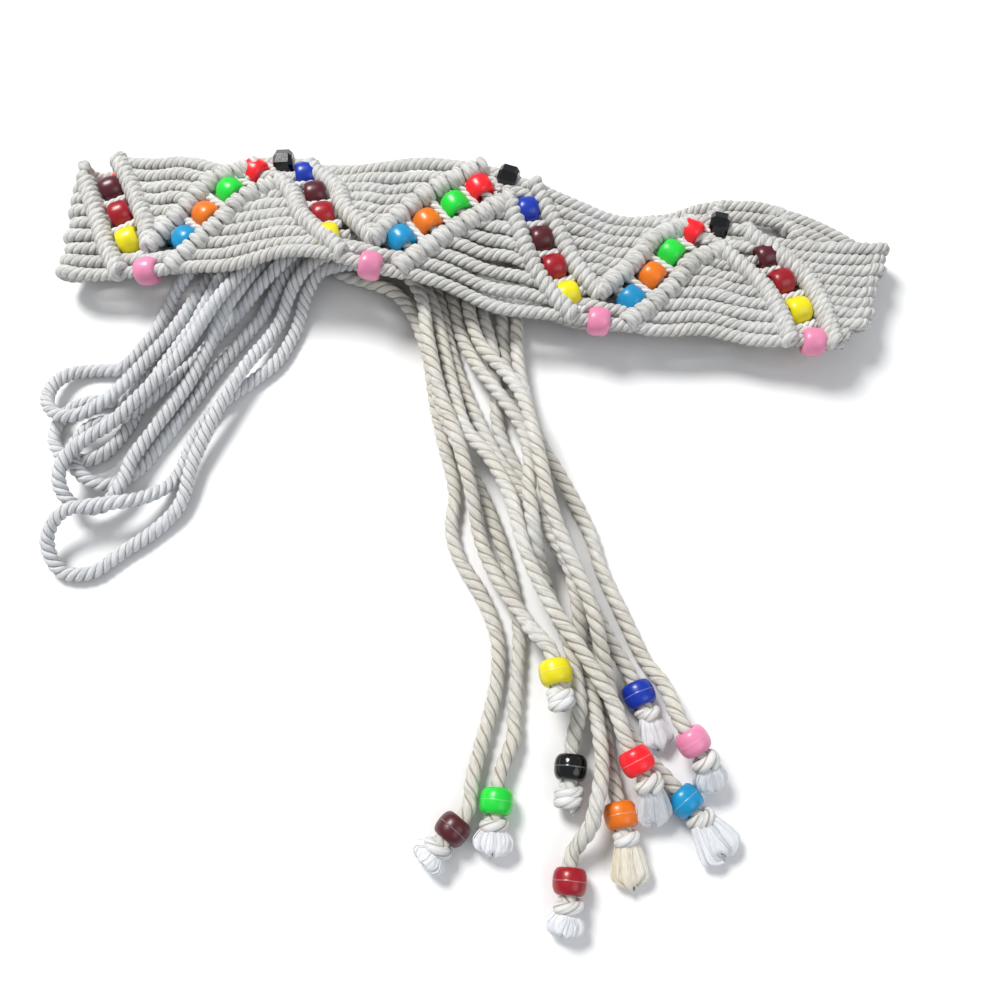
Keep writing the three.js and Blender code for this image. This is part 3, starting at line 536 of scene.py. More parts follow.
# Meshes are gathered here before each becomes one object
class Gather:
    def __init__(self):
        self.verts, self.faces, self.uvs, self.ply, self.tone = [], [], [], [], []
        self.count = 0

    def add(self, verts, faces, uv, ply, tone):
        self.verts.append(verts)
        self.faces.append(np.asarray(faces) + self.count)
        self.uvs.append(uv)
        self.ply.append(ply)
        self.tone.append(np.full(len(verts), tone))
        self.count += len(verts)

    def make(self, name, material, slot, smooth=True):
        verts = world(np.concatenate(self.verts))
        faces = np.concatenate(self.faces)
        mesh = bpy.data.meshes.new(name)
        mesh.vertices.add(len(verts))
        mesh.vertices.foreach_set("co", verts.astype(np.float32).ravel())
        mesh.loops.add(faces.size)
        mesh.loops.foreach_set("vertex_index", faces.astype(np.int32).ravel())
        mesh.polygons.add(len(faces))
        mesh.polygons.foreach_set("loop_start", (np.arange(len(faces)) * 4).astype(np.int32))
        mesh.update(calc_edges=True)
        uv = mesh.uv_layers.new(name="lay")
        uv.data.foreach_set("uv", np.concatenate(self.uvs)[faces.ravel()].astype(np.float32).ravel())
        # This attribute carries the painted shade mask on cotton and the pale seam mask on beads
        for label, values in (("ply", self.ply), ("tone", self.tone)):
            data = mesh.attributes.new(label, "FLOAT", "POINT")
            data.data.foreach_set("value", np.concatenate(values).astype(np.float32))
        mesh.polygons.foreach_set("use_smooth", [smooth] * len(faces))
        mesh.materials.append(material)
        mesh.validate()
        obj = bpy.data.objects.new(name, mesh)
        bpy.context.scene.collection.objects.link(obj)
        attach(obj, "root")
        return obj


NEARLY_UPRIGHT = 0.95


def frames_along(line):
    """Two directions across the line at each point, carried along it without twist."""
    tangent = unit(np.gradient(line, axis=0))
    first = np.array([0.0, 0.0, 1.0])
    if abs(np.dot(first, tangent[0])) > NEARLY_UPRIGHT:
        first = np.array([1.0, 0.0, 0.0])
    side = unit(np.cross(tangent[0], first))
    sides = [side]
    for t in tangent[1:]:
        side = sides[-1] - t * np.dot(sides[-1], t)
        sides.append(side / max(1e-9, np.linalg.norm(side)))
    sides = np.array(sides)
    return sides, np.cross(tangent, sides)


# A cord's section: its strands, each one's place and size as shares of the cord's radius, and how
# far below its middle painted shade darkens a cord's underside
STRANDS = 3
STRAND_OUT = 0.4
STRAND_SIZE = 0.6
UNDERSIDE_SHADE_START = 0.4
UNDERSIDE_SHADE_BLEND = 0.5
FIBRE_TWIST = 0.55
# How a cord's thickness wanders along it: as a share of its radius, and over how many millimetres
SLOW_WOBBLE = (0.025, 5.3)
QUICK_WOBBLE = (0.015, 1.9)


def lobes(angle):
    """The section's radius at an angle, as a share of the cord's radius."""
    part = 2 * math.pi / STRANDS
    a = (angle + part / 2) % part - part / 2
    return STRAND_OUT * np.cos(a) + np.sqrt(STRAND_SIZE**2 - (STRAND_OUT * np.sin(a))**2)


LOBE_LOW = lobes(math.pi / STRANDS)


def around(sides):
    return 2 * math.pi * np.arange(sides) / sides


def tube_points(line, radius, angle):
    """Rings of points round a line."""
    e1, e2 = frames_along(line)
    return (line[:, None, :] + (radius * np.cos(angle))[..., None] * e1[:, None, :]
            + (radius * np.sin(angle))[..., None] * e2[:, None, :])


def tube_faces(count, sides):
    """The faces between rings of points, one ring after the other."""
    grid = np.arange(count * sides).reshape(count, sides)
    a, b = grid[:-1], grid[1:]
    return np.stack([a, np.roll(a, -1, 1), np.roll(b, -1, 1), b], axis=-1).reshape(-1, 4)


def rope(gather, line, radius, lay, sides=18, step=1.0, relief=1.0):
    """A twisted cord of three strands along a line."""
    line = even(np.asarray(line, float), step)
    count = len(line)
    s = np.linspace(0, length_of(line), count)
    phase = rng.uniform(0, 2 * math.pi)
    twist = phase + 2 * math.pi * s / lay
    theta = around(sides)
    shape = 1 - relief * (1 - lobes(theta))
    slow, slow_length = SLOW_WOBBLE
    quick, quick_length = QUICK_WOBBLE
    wobble = 1 + slow * np.sin(s / slow_length + phase) + quick * np.sin(s / quick_length + 2 * phase)
    angle = theta[None, :] - twist[:, None]
    verts = tube_points(line, (radius * wobble)[:, None] * shape[None, :], angle)
    turned = radius * (theta[None, :] - FIBRE_TWIST * twist[:, None])
    uv = np.stack(np.broadcast_arrays(s[:, None], turned), axis=-1)
    # Painted shade: the mask is 0 in the valleys between strands and below the cord's middle, where the groove
    # colour is painted, and 1 on the lit crests
    strand = np.broadcast_to((lobes(theta) - LOBE_LOW) / (1 - LOBE_LOW), (count, sides))
    height = (verts[..., 2] - line[:, None, 2]) / radius
    ply = strand * np.clip((height + UNDERSIDE_SHADE_START) / UNDERSIDE_SHADE_BLEND, 0, 1)
    caps = []
    first = np.arange(sides)
    for ring, flip in ((first, True), (first + (count - 1) * sides, False)):
        for k in range(1, sides - 2, 2):
            quad = [ring[0], ring[k], ring[k + 1], ring[k + 2]]
            caps.append(quad[::-1] if flip else quad)
    faces = np.concatenate([tube_faces(count, sides), caps])
    gather.add(verts.reshape(-1, 3), faces, uv.reshape(-1, 2), ply.reshape(-1), rng.uniform(-1, 1))


# Materials
def shader(name):
    material = bpy.data.materials.new(name)
    material.use_nodes = True
    tree = material.node_tree
    return material, tree, tree.nodes["Principled BSDF"]


def node(tree, kind, **values):
    made = tree.nodes.new(kind)
    for key, value in values.items():
        setattr(made, key, value)
    return made


def srgb(r, g, b):
    return tuple(((c / 255 + 0.055) / 1.055)**2.4 if c > 10 else c / 255 / 12.92 for c in (r, g, b)) + (1,)


def mix_colour(tree, factor, a, b, mode="MIX"):
    mix = node(tree, "ShaderNodeMix", data_type="RGBA", blend_type=mode)
    for socket, value in ((mix.inputs[0], factor), (mix.inputs[6], a), (mix.inputs[7], b)):
        if isinstance(value, bpy.types.NodeSocket):
            tree.links.new(value, socket)
        else:
            socket.default_value = value
    return mix.outputs[2]


def ramp(tree, source, low, high):
    remap = node(tree, "ShaderNodeMapRange")
    tree.links.new(source, remap.inputs["Value"])
    remap.inputs["From Min"].default_value = low
    remap.inputs["From Max"].default_value = high
    return remap.outputs["Result"]


def noise(tree, where, scale, detail=2, **values):
    made = node(tree, "ShaderNodeTexNoise", **values)
    tree.links.new(where, made.inputs["Vector"])
    made.inputs["Scale"].default_value = scale
    made.inputs["Detail"].default_value = detail
    return made.outputs["Fac"]


def scaled(tree, source, factor, added):
    made = node(tree, "ShaderNodeMath", operation="MULTIPLY_ADD")
    tree.links.new(source, made.inputs[0])
    made.inputs[1].default_value = factor
    made.inputs[2].default_value = added
    return made.outputs[0]


def bumps(tree, height, strength, distance, under=None):
    made = node(tree, "ShaderNodeBump")
    made.inputs["Strength"].default_value = strength
    made.inputs["Distance"].default_value = distance
    tree.links.new(height, made.inputs["Height"])
    if under is not None:
        tree.links.new(under, made.inputs["Normal"])
    return made.outputs["Normal"]


def finish(bsdf, values):
    for socket, value in values.items():
        bsdf.inputs[socket].default_value = value


# Cotton: the fibres' stretch along and round the cord, and the scales and ranges of its patterns and of its
# painted groove shade
FIBRE_STRETCH = (0.4, 4.2, 1)
FIBRE_DETAIL = 3
MOTTLE_SCALE = 55
GRAIN_SCALE = 1400
GROOVE_SHADE_RANGE = (0.0, 0.45)
BLUSH_RANGE = (0.45, 0.8)
TONE_SHADE = (0.035, 0.965)
FIBRE_RANGE = (0.3, 0.7)
FIBRE_CONTRAST = 0.3
FIBRE_DARK = 0.22
FIBRE_BUMP = 0.8
FIBRE_DEPTH = 0.0004
FUZZ_BUMP = 0.3
FUZZ_DEPTH = 0.0002
COTTON_FINISH = {"Roughness": 0.92, "Specular IOR Level": 0.2, "Sheen Weight": 0.2, "Sheen Roughness": 0.5}


def cotton(name, base, groove, blush, fibre=1.0):
    """Off-white twisted cotton: painted shade between the strands and on the underside, with fine fibres and
    soft mottling.
    """
    material, tree, bsdf = shader(name)
    uv = node(tree, "ShaderNodeUVMap", uv_map="lay")
    stretch = node(tree, "ShaderNodeVectorMath", operation="MULTIPLY")
    tree.links.new(uv.outputs[0], stretch.inputs[0])
    stretch.inputs[1].default_value = FIBRE_STRETCH
    fibres = noise(tree, stretch.outputs[0], 1, FIBRE_DETAIL, noise_dimensions="2D")
    where = node(tree, "ShaderNodeTexCoord").outputs["Object"]
    mottle = noise(tree, where, MOTTLE_SCALE)
    grain = noise(tree, where, GRAIN_SCALE)
    ply = node(tree, "ShaderNodeAttribute", attribute_name="ply").outputs["Fac"]
    tone = node(tree, "ShaderNodeAttribute", attribute_name="tone").outputs["Fac"]
    # Painted shade: the groove colour is painted where the mask marks strand valleys, undersides and tuft
    # grooves
    colour = mix_colour(tree, ramp(tree, ply, *GROOVE_SHADE_RANGE), groove, base)
    colour = mix_colour(tree, ramp(tree, mottle, *BLUSH_RANGE), colour, blush)
    shade = scaled(tree, tone, *TONE_SHADE)
    lines = scaled(tree, ramp(tree, fibres, *FIBRE_RANGE), FIBRE_CONTRAST * fibre, 1 - FIBRE_DARK * fibre)
    both = node(tree, "ShaderNodeMath", operation="MULTIPLY")
    tree.links.new(shade, both.inputs[0])
    tree.links.new(lines, both.inputs[1])
    grey = node(tree, "ShaderNodeCombineColor")
    for k in range(3):
        tree.links.new(both.outputs[0], grey.inputs[k])
    colour = mix_colour(tree, 1.0, colour, grey.outputs[0], "MULTIPLY")
    tree.links.new(colour, bsdf.inputs["Base Color"])
    finish(bsdf, COTTON_FINISH)
    relief = bumps(tree, fibres, FIBRE_BUMP * fibre, FIBRE_DEPTH)
    tree.links.new(bumps(tree, grain, FUZZ_BUMP, FUZZ_DEPTH, relief), bsdf.inputs["Normal"])
    return material


# Plastic: its clouded colour, its paler seam line, its roughness and its fine scratches
CLOUD_SCALE = 160
CLOUD_RANGE = (0.3, 0.75)
DEEP_SHARE = 0.8
PALE_SHARE = 0.7
PALE_ADDED = 0.14
ROUGH_REACH = 0.12
ROUND_ROUGHNESS = 0.27
CUT_ROUGHNESS = 0.08
SCRATCH_SCALE = 900
SCRATCH_BUMP = 0.06
SCRATCH_DEPTH = 0.0002
PLASTIC_FINISH = {"IOR": 1.5, "Coat Weight": 0.15, "Coat Roughness": 0.08}


def plastic(name, colour, facets=False):
    """Glossy opaque bead plastic, a little deeper in colour in soft patches, paler along a seam."""
    material, tree, bsdf = shader(name)
    where = node(tree, "ShaderNodeTexCoord").outputs["Object"]
    cloud = noise(tree, where, CLOUD_SCALE)
    deep = tuple(c * DEEP_SHARE for c in colour[:3]) + (1,)
    seam = node(tree, "ShaderNodeAttribute", attribute_name="ply").outputs["Fac"]
    pale = tuple(PALE_SHARE * c + PALE_ADDED for c in colour[:3]) + (1,)
    body = mix_colour(tree, ramp(tree, cloud, *CLOUD_RANGE), colour, deep)
    tree.links.new(mix_colour(tree, seam, pale, body), bsdf.inputs["Base Color"])
    rough = scaled(tree, cloud, ROUGH_REACH, CUT_ROUGHNESS if facets else ROUND_ROUGHNESS)
    tree.links.new(rough, bsdf.inputs["Roughness"])
    finish(bsdf, PLASTIC_FINISH)
    scratch = noise(tree, where, SCRATCH_SCALE)
    tree.links.new(bumps(tree, scratch, SCRATCH_BUMP, SCRATCH_DEPTH), bsdf.inputs["Normal"])
    return material


# Each cotton's second colour is the painted shade colour of its grooves and undersides
band_cotton = cotton("band_cotton", srgb(226, 225, 221), srgb(138, 129, 115), srgb(232, 233, 232))
free_cotton = cotton("free_cotton", srgb(228, 224, 214), srgb(146, 133, 112), srgb(234, 234, 230))
loop_cotton = cotton("loop_cotton", srgb(233, 235, 238), srgb(138, 134, 130), srgb(238, 241, 246))
knot_cotton = cotton("knot_cotton", srgb(236, 235, 232), srgb(160, 153, 143), srgb(240, 242, 245), 0.8)
tuft_cotton = cotton("tuft_cotton", srgb(242, 244, 248), srgb(212, 217, 226), srgb(248, 250, 252), 0.6)
stained_cotton = cotton("stained_cotton", srgb(240, 228, 200), srgb(206, 184, 140), srgb(246, 245, 240), 0.6)
COLOURS = {
    "pink": srgb(238, 142, 180), "sky": srgb(6, 146, 200), "orange": srgb(240, 120, 10),
    "green": srgb(26, 222, 62), "coral": srgb(255, 26, 40), "black": srgb(5, 7, 10),
    "blue": srgb(2, 50, 170), "maroon": srgb(84, 18, 30), "red": srgb(160, 4, 28),
    "yellow": srgb(240, 226, 12),
}
plastics = {name: plastic("plastic_" + name, c, name == "black") for name, c in COLOURS.items()}

# Beads: the hole's mouth as steps out from the hole and down from the end, the lip, the shoulders'
# curve, and the seam that the fringe beads have round their middle
HOLE_MOUTH = ((0, 0.45), (0.12, 0.12), (0.4, 0))
LIP = 2.9
SHOULDER_STEPS = 12
SHOULDER_POWER = 2.6
SHOULDER_ROOT = 1.9
SIDE_HALF = 0.3
SEAM_STEPS = ((0.01, 0.16), (0.07, 0.06))
SEAM_HALF = 0.1
# The cut black beads: the end face's radius and depth, and the cut edge's
FACE_RADIUS = 3.3
FACE_DOWN = 0.3
CUT_RADIUS = 4.45
CUT_DOWN = 1.4
CUT_SIDES = 9
ROUND_SIDES = 36
HIDDEN_SIDES = 20


def bead_profile(seam=False):
    half = BEAD_LENGTH / 2
    hole = BEAD_HOLE / 2
    rows = [(hole, 0.0), *((hole + out, half - down) for out, down in HOLE_MOUTH)]
    for k in range(SHOULDER_STEPS + 1):
        y = half * math.cos(math.pi / 2 * k / SHOULDER_STEPS)
        r = LIP + (BEAD / 2 - LIP) * (1 - (y / half)**SHOULDER_POWER)**(1 / SHOULDER_ROOT)
        rows.append((r, y))
    rows[-1] = (BEAD / 2, SIDE_HALF)
    if seam:
        rows += [(BEAD / 2 + out, y) for out, y in SEAM_STEPS]
    return rows + [(r, -y) for r, y in reversed(rows[1:])]


def facet_profile():
    half = BEAD_LENGTH / 2
    hole = BEAD_HOLE / 2
    rows = [(hole, 0.0), (hole, half - FACE_DOWN), (FACE_RADIUS, half - FACE_DOWN),
            (CUT_RADIUS, half - CUT_DOWN)]
    return rows + [(r, -y) for r, y in reversed(rows[1:])]


def bead_mesh(gather, centre, axis, normal, profile, sides, seam=False):
    side = np.cross(normal, axis)
    angle = around(sides)
    out = np.cos(angle)[:, None] * normal + np.sin(angle)[:, None] * side
    rings = np.array([centre + axis * y + out * r for r, y in profile])
    size = len(profile) * sides
    a = np.arange(size).reshape(-1, sides)
    b = np.roll(a, -1, 0)
    faces = np.stack([a, b, np.roll(b, -1, 1), np.roll(a, -1, 1)], axis=-1).reshape(-1, 4)
    pale = np.array([0.0 if seam and r > BEAD / 2 and abs(y) < SEAM_HALF else 1.0 for r, y in profile])
    gather.add(rings.reshape(-1, 3), faces, np.zeros((size, 2)), np.repeat(pale, sides), 0.0)


def bead_piece(name, bead_colour, centre, axis, normal, seam=False):
    """A bead: the black ones of the band are cut in facets, all others are round."""
    gather = Gather()
    cut = bead_colour == "black" and not seam
    bead_mesh(gather, centre, axis, normal, facet_profile() if cut else bead_profile(seam),
              CUT_SIDES if cut else ROUND_SIDES, seam)
    return gather.make(name, plastics[bead_colour], "bead_" + bead_colour, smooth=not cut)


for bead in front_beads:
    piece = bead_piece("shown_" + bead["node"], bead["colour"], bead["centre"], bead["axis"], bead["normal"])
    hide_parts(bead["node"])
by_colour = {}
for bead in hidden_beads:
    if 0 < bead["u"] < coarse.length:
        by_colour.setdefault(bead["colour"], []).append(bead)
for colour, beads in by_colour.items():
    gather = Gather()
    for bead in beads:
        bead_mesh(gather, bead["centre"], bead["axis"], bead["normal"], bead_profile(), HIDDEN_SIDES)
    gather.make("lower_beads_" + colour, plastics[colour], "bead_" + colour)

# The band: cords between the ridges, cords that carry beads, and the wraps of the ridges
BAND_LAY = 7.4
BAND_ROPE = 2.15
BAND_RELIEF = 0.65
CARRIER_ROPE = 1.85
THREAD_ROPE = 1.5
THREAD_LIFT = 0.2
THREAD_INSET = 2
CORNER_PAST = 2
CORNER_STEP = 1.5
CROSSING_SLACK = 0.6
CORD_V = [(k - (CORDS - 1) / 2) * PITCH for k in range(CORDS)]
# How far before and after the front layer a field or a row still counts as shown
FIELD_MARGINS = (10, 12)
ROW_MARGINS = (20, 0)
# How a cord of a field waves sideways and up, by itself and with its neighbours, and sags
SHORTEST_CORD = 3
LONG_CORD = 30
CORD_STEP = 2.5
DRIFT = 0.7
DRIFT_WAVES = 2.6
LIFT = 0.45
LIFT_WAVES = 3.4
OWN_LIFT = 0.35
END_LIFT = 0.3
END_REACH = 3
CORD_WAVE = 0.45
FIELD_WAVE = 2.1
SAG = 0.9
DEEP_SAG = 2.4
SAGGING_FIELD = 6
SAGGING_CORDS = 3
# Wraps: spacing, radius, slant, shift of every other turn, and how deep the strands show
RISING_WRAPS = (2.9, 1.55, 0.0, 0.24, 0.5)
FALLING_WRAPS = (2.2, 1.4, -0.3, 0, 0.3)
WRAP_LAY = 10.5
WRAP_SIDE = 0.2
WRAP_RISE = 0.35
WRAP_SIZES = (0.97, 1.04)
WRAP_HEIGHTS = (-0.08, 0.05)
WRAP_START = -2.1
WRAP_OVERLAP = 0.5
WRAP_POINTS = 17
WRAP_SQUARE = 0.9
WRAP_STEP = 0.85
WRAP_ROUND = 15
WRAP_MARGIN = 0.2
WRAP_AHEAD = 0.04


def crossing(line, v):
    """Where a ridge line crosses a cord, or None past the line's ends."""
    vs, us = [p[1] for p in line], [p[0] for p in line]
    if vs[0] > vs[-1]:
        vs, us = vs[::-1], us[::-1]
    if v < vs[0] - CROSSING_SLACK or v > vs[-1] + CROSSING_SLACK:
        return None
    return float(np.interp(v, vs, us))


def on_front(u, before, after):
    return coarse.front_start - before < u < coarse.front_start + FRONT_LENGTH + after


def band_cord(gather, u0, u1, v, wave=0.0, sag=0.0):
    """One cord of the band from u0 to u1, waving a little and sagging towards the lower edge."""
    run = u1 - u0
    if run < SHORTEST_CORD:
        return
    t = np.linspace(0, 1, max(4, int(run / CORD_STEP)))
    u = u0 + run * t
    room = np.sin(t * math.pi) * min(1, run / LONG_CORD)
    drift = DRIFT * room * np.sin(DRIFT_WAVES * math.pi * t + wave) - sag * room
    own = rng.uniform(0, 6.28)
    ends = np.exp(-(t * run / END_REACH)**2) + np.exp(-((1 - t) * run / END_REACH)**2)
    lift = (LIFT * room * np.sin(LIFT_WAVES * math.pi * t + own) + OWN_LIFT * room * math.sin(own)
            + END_LIFT * ends)
    rope(gather, spline(band(u, v + drift, lift), 1), BAND_ROPE, BAND_LAY, relief=BAND_RELIEF)


def across_rope(gather, u, v, turn, n, reach, radius):
    s = np.linspace(-reach, reach, 7)
    rope(gather, spline(band(u + math.cos(turn) * s, v + math.sin(turn) * s, n), 1), radius, BAND_LAY)


def wraps(gather, line, rises):
    """Turns of cord side by side over a ridge, in pairs where it rises and slanted where it falls."""
    spacing, radius, lean, pairing, relief = RISING_WRAPS if rises else FALLING_WRAPS
    smooth = spline([(u, v, 0) for u, v in line], ROUTE_STEP)
    count = int(round(length_of(smooth) / spacing))
    for k in range(count + 1):
        share = k / count
        at = along(smooth, share)[:2]
        t = unit(along(smooth, min(1, share + WRAP_AHEAD))[:2] - along(smooth, max(0, share - WRAP_AHEAD))[:2])
        side = np.array([-t[1], t[0]])
        pair = pairing if k % 2 else -pairing
        r = radius * rng.uniform(*WRAP_SIZES)
        half = RIDGE_WIDTH / 2 + WRAP_SIDE - r
        top = RIDGE_CREST + WRAP_RISE - r + rng.uniform(*WRAP_HEIGHTS)
        low = -CORD / 2 + r
        phi = np.linspace(WRAP_START, 2 * math.pi + WRAP_START + WRAP_OVERLAP, WRAP_POINTS)
        across = half * np.sign(np.cos(phi)) * np.abs(np.cos(phi))**WRAP_SQUARE
        up = (top + low) / 2 + (top - low) / 2 * np.sin(phi)
        slip = across * math.tan(lean) - pair
        u = at[0] + t[0] * slip + side[0] * across
        v = at[1] + t[1] * slip + side[1] * across
        u = np.clip(u, WRAP_MARGIN, coarse.length - WRAP_MARGIN)
        rope(gather, spline(band(u, v, up), WRAP_STEP), r, WRAP_LAY, sides=WRAP_ROUND, step=WRAP_STEP,
             relief=relief)


fields, lower_fields, threads = Gather(), Gather(), Gather()
ridges, lower_ridges = Gather(), Gather()
lines = [ridge_lines(d) for d in diagonals]
# Each row of beads has a ridge before it and a ridge after it along the band
before = [line[1] if d["rises"] else line[-1] for d, line in zip(diagonals, lines)]
after = [line[-1] if d["rises"] else line[1] for d, line in zip(diagonals, lines)]
for k in range(len(diagonals) + 1):
    for i, v in enumerate(CORD_V):
        start = crossing(after[k - 1], v) if k else 0.0
        end = crossing(before[k], v) if k < len(diagonals) else coarse.length
        if k == 0 and end is None:
            end = crossing(after[0], v)
        if k == len(diagonals) and start is None:
            start = crossing(before[-1], v)
        if start is None or end is None:
            continue
        shown = on_front((start + end) / 2, *FIELD_MARGINS)
        # The lowest cords of a field sag between the corners of the lower edge
        deep = DEEP_SAG if k == SAGGING_FIELD else SAG
        sag = deep * max(0, 1 - i / SAGGING_CORDS) if shown and end - start > LONG_CORD else 0
        wave = CORD_WAVE * i + FIELD_WAVE * k
        band_cord(fields if shown else lower_fields, start, min(end, coarse.length), v, wave, sag)

for diagonal in diagonals:
    shown = on_front(diagonal["start"], *ROW_MARGINS)
    target = fields if shown else lower_fields
    corner = diagonal["corner"]
    for bead in diagonal["beads"]:
        across_rope(target, bead["u"], bead["v"], bead["turn"], 0, RIDGE_OFFSET, CARRIER_ROPE)
    ends = [*diagonal["beads"], corner]
    for a, b in zip(ends[:-1], ends[1:]):
        reach = RIDGE_OFFSET / 2 if b is corner else RIDGE_OFFSET - THREAD_INSET
        across_rope(threads if shown else target, (a["u"] + b["u"]) / 2, (a["v"] + b["v"]) / 2,
                    diagonal["turn"], THREAD_LIFT, reach, THREAD_ROPE)
    # At the corner that ends this row, the outermost cords cross from ridge to ridge
    sign = 1 if corner["v"] > 0 else -1
    for step in (0, 1):
        v = sign * (HALF_SPREAD - step * PITCH)
        reach = CORNER_REACH + CORNER_PAST + step * CORNER_STEP
        u = corner["u"]
        band_cord(target, u - reach, min(u + reach, coarse.length), v if step else corner["v"])

for diagonal, line in zip(diagonals, lines):
    shown = on_front(diagonal["start"], *ROW_MARGINS)
    for side in (1, -1):
        wraps(ridges if shown else lower_ridges, line[side], diagonal["rises"])

band_piece = fields.make("band_cords_shown", band_cotton, "cotton_cord")
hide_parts("macrame_band")
lower_fields.make("band_cords_lower", band_cotton, "cotton_cord")
ridges.make("ridge_wraps_shown", band_cotton, "cotton_cord")
lower_ridges.make("ridge_wraps_lower", band_cotton, "cotton_cord")
threads.make("bead_threads", knot_cotton, "cotton_cord")

# Fringe cords, each with its bead, its end knot and its frayed tuft
FREE_LAY = 11.5
FREE_RELIEF = 0.7
FREE_SIZE = 1.02
FREE_SIDES = 24
FREE_STEP = 0.9
BEAD_APPROACH = 2.1
BEAD_ENTRY = 0.9
CORD_PAST = 1.5
# The end knot: points to a turn, how far its ends tuck in, its lean and flatness, and its cord
KNOT_POINTS = 14
KNOT_TUCK = 0.25
KNOT_LEAN = 0.6
KNOT_FLAT = 0.86
KNOT_ROPE = 1.7
KNOT_LAY = 12
KNOT_RELIEF = 0.55
KNOT_STEP = 0.8
KNOT_AFTER_BEAD = 1.6
KNOT_FLOOR = 1.9
TUFT_IN_KNOT = 0.3
# The tuft: how it fans out, rounds off as a bulb and closes, each as start, run, power and least
FAN_START = 0.5
FAN_POWER = 0.8
BULB_FAN = 0.45
OPEN_FAN = 0.85
BULB_CURVE = (0.5, 0.53, 2.4, 0.04)
CLOSING_CURVE = (0.7, 0.31, 2.6, 0.03)
TUFT_HEIGHT = 0.85
OPEN_SINK = 0.35
TUFT_ROWS = 26
TUFT_SIDES = 84
# Waves round the tuft, as their number and their size
GROOVES = ((5, 0.035), (8, 0.035), (13, 0.025), (21, 0.02))
RAGGED_END = ((2, 0.05), (4, 0.06), (7, 0.05))
MASS_REACH = 0.96
GROOVE_START = 0.6
GROOVE_GROWTH = 0.7
YARN_FLOOR = 0.35
YARN_SIDES = 5
YARN_TIP = 0.45
# Each end: the tip, the tuft's width, whether it closes into a bulb, its loose yarns, and its knot's
# turns, length and reach out from the cord
TUFTS = {
    "maroon": ((-20.4, -104), 10.8, True, 40, 1.5, 2.0, 2.5),
    "green": ((-2.1, -102.3), 10.6, True, 50, 1.3, 1.8, 2.4),
    "yellow": ((16.1, -63.9), 8, True, 0, 2.6, 4.6, 2.2),
    "black": ((18.6, -90.6), 8, True, 0, 2.6, 5.4, 2.5),
    "red": ((16.1, -121.8), 9.8, True, 40, 1.5, 2.4, 2.5),
    "orange": ((34.6, -109.7), 10.4, False, 60, 1.2, 1.6, 2.4),
    "coral": ((41.2, -94.1), 10.6, False, 50, 1.7, 2.6, 2.5),
    "sky": ((59.6, -102.6), 12.8, False, 60, 1.2, 1.8, 2.4),
    "blue": ((43.7, -74.5), 9.8, False, 50, 1.1, 1.5, 2.3),
    "pink": ((57.3, -85.6), 9.2, True, 40, 1.4, 2.2, 2.5),
}


def knot_line(turns, length, out):
    """Turns of cord rolled round the end of a cord, as points along it, across it and up."""
    t = np.linspace(0, 1, int(turns * KNOT_POINTS))
    phi = 2 * math.pi * turns * t + rng.uniform(0, 6)
    ends = np.clip(np.minimum(t, 1 - t) * turns * 4, 0, 1)**0.7
    r = out * (KNOT_TUCK + (1 - KNOT_TUCK) * ends)
    x = length * (t - 0.5) + KNOT_LEAN * np.sin(phi)
    return np.stack([x, r * np.cos(phi), KNOT_FLAT * r * np.sin(phi)], axis=1)


def waves(angle, table):
    return 1 + sum(size * np.sin(k * angle + rng.uniform(0, 6)) for k, size in table)


def rounded(t, start, run, power, least):
    """1 up to the start, then falling off in a curve to the root of the least value."""
    return np.sqrt(np.clip(1 - np.clip((t - start) / run, 0, 1)**power, least, 1))


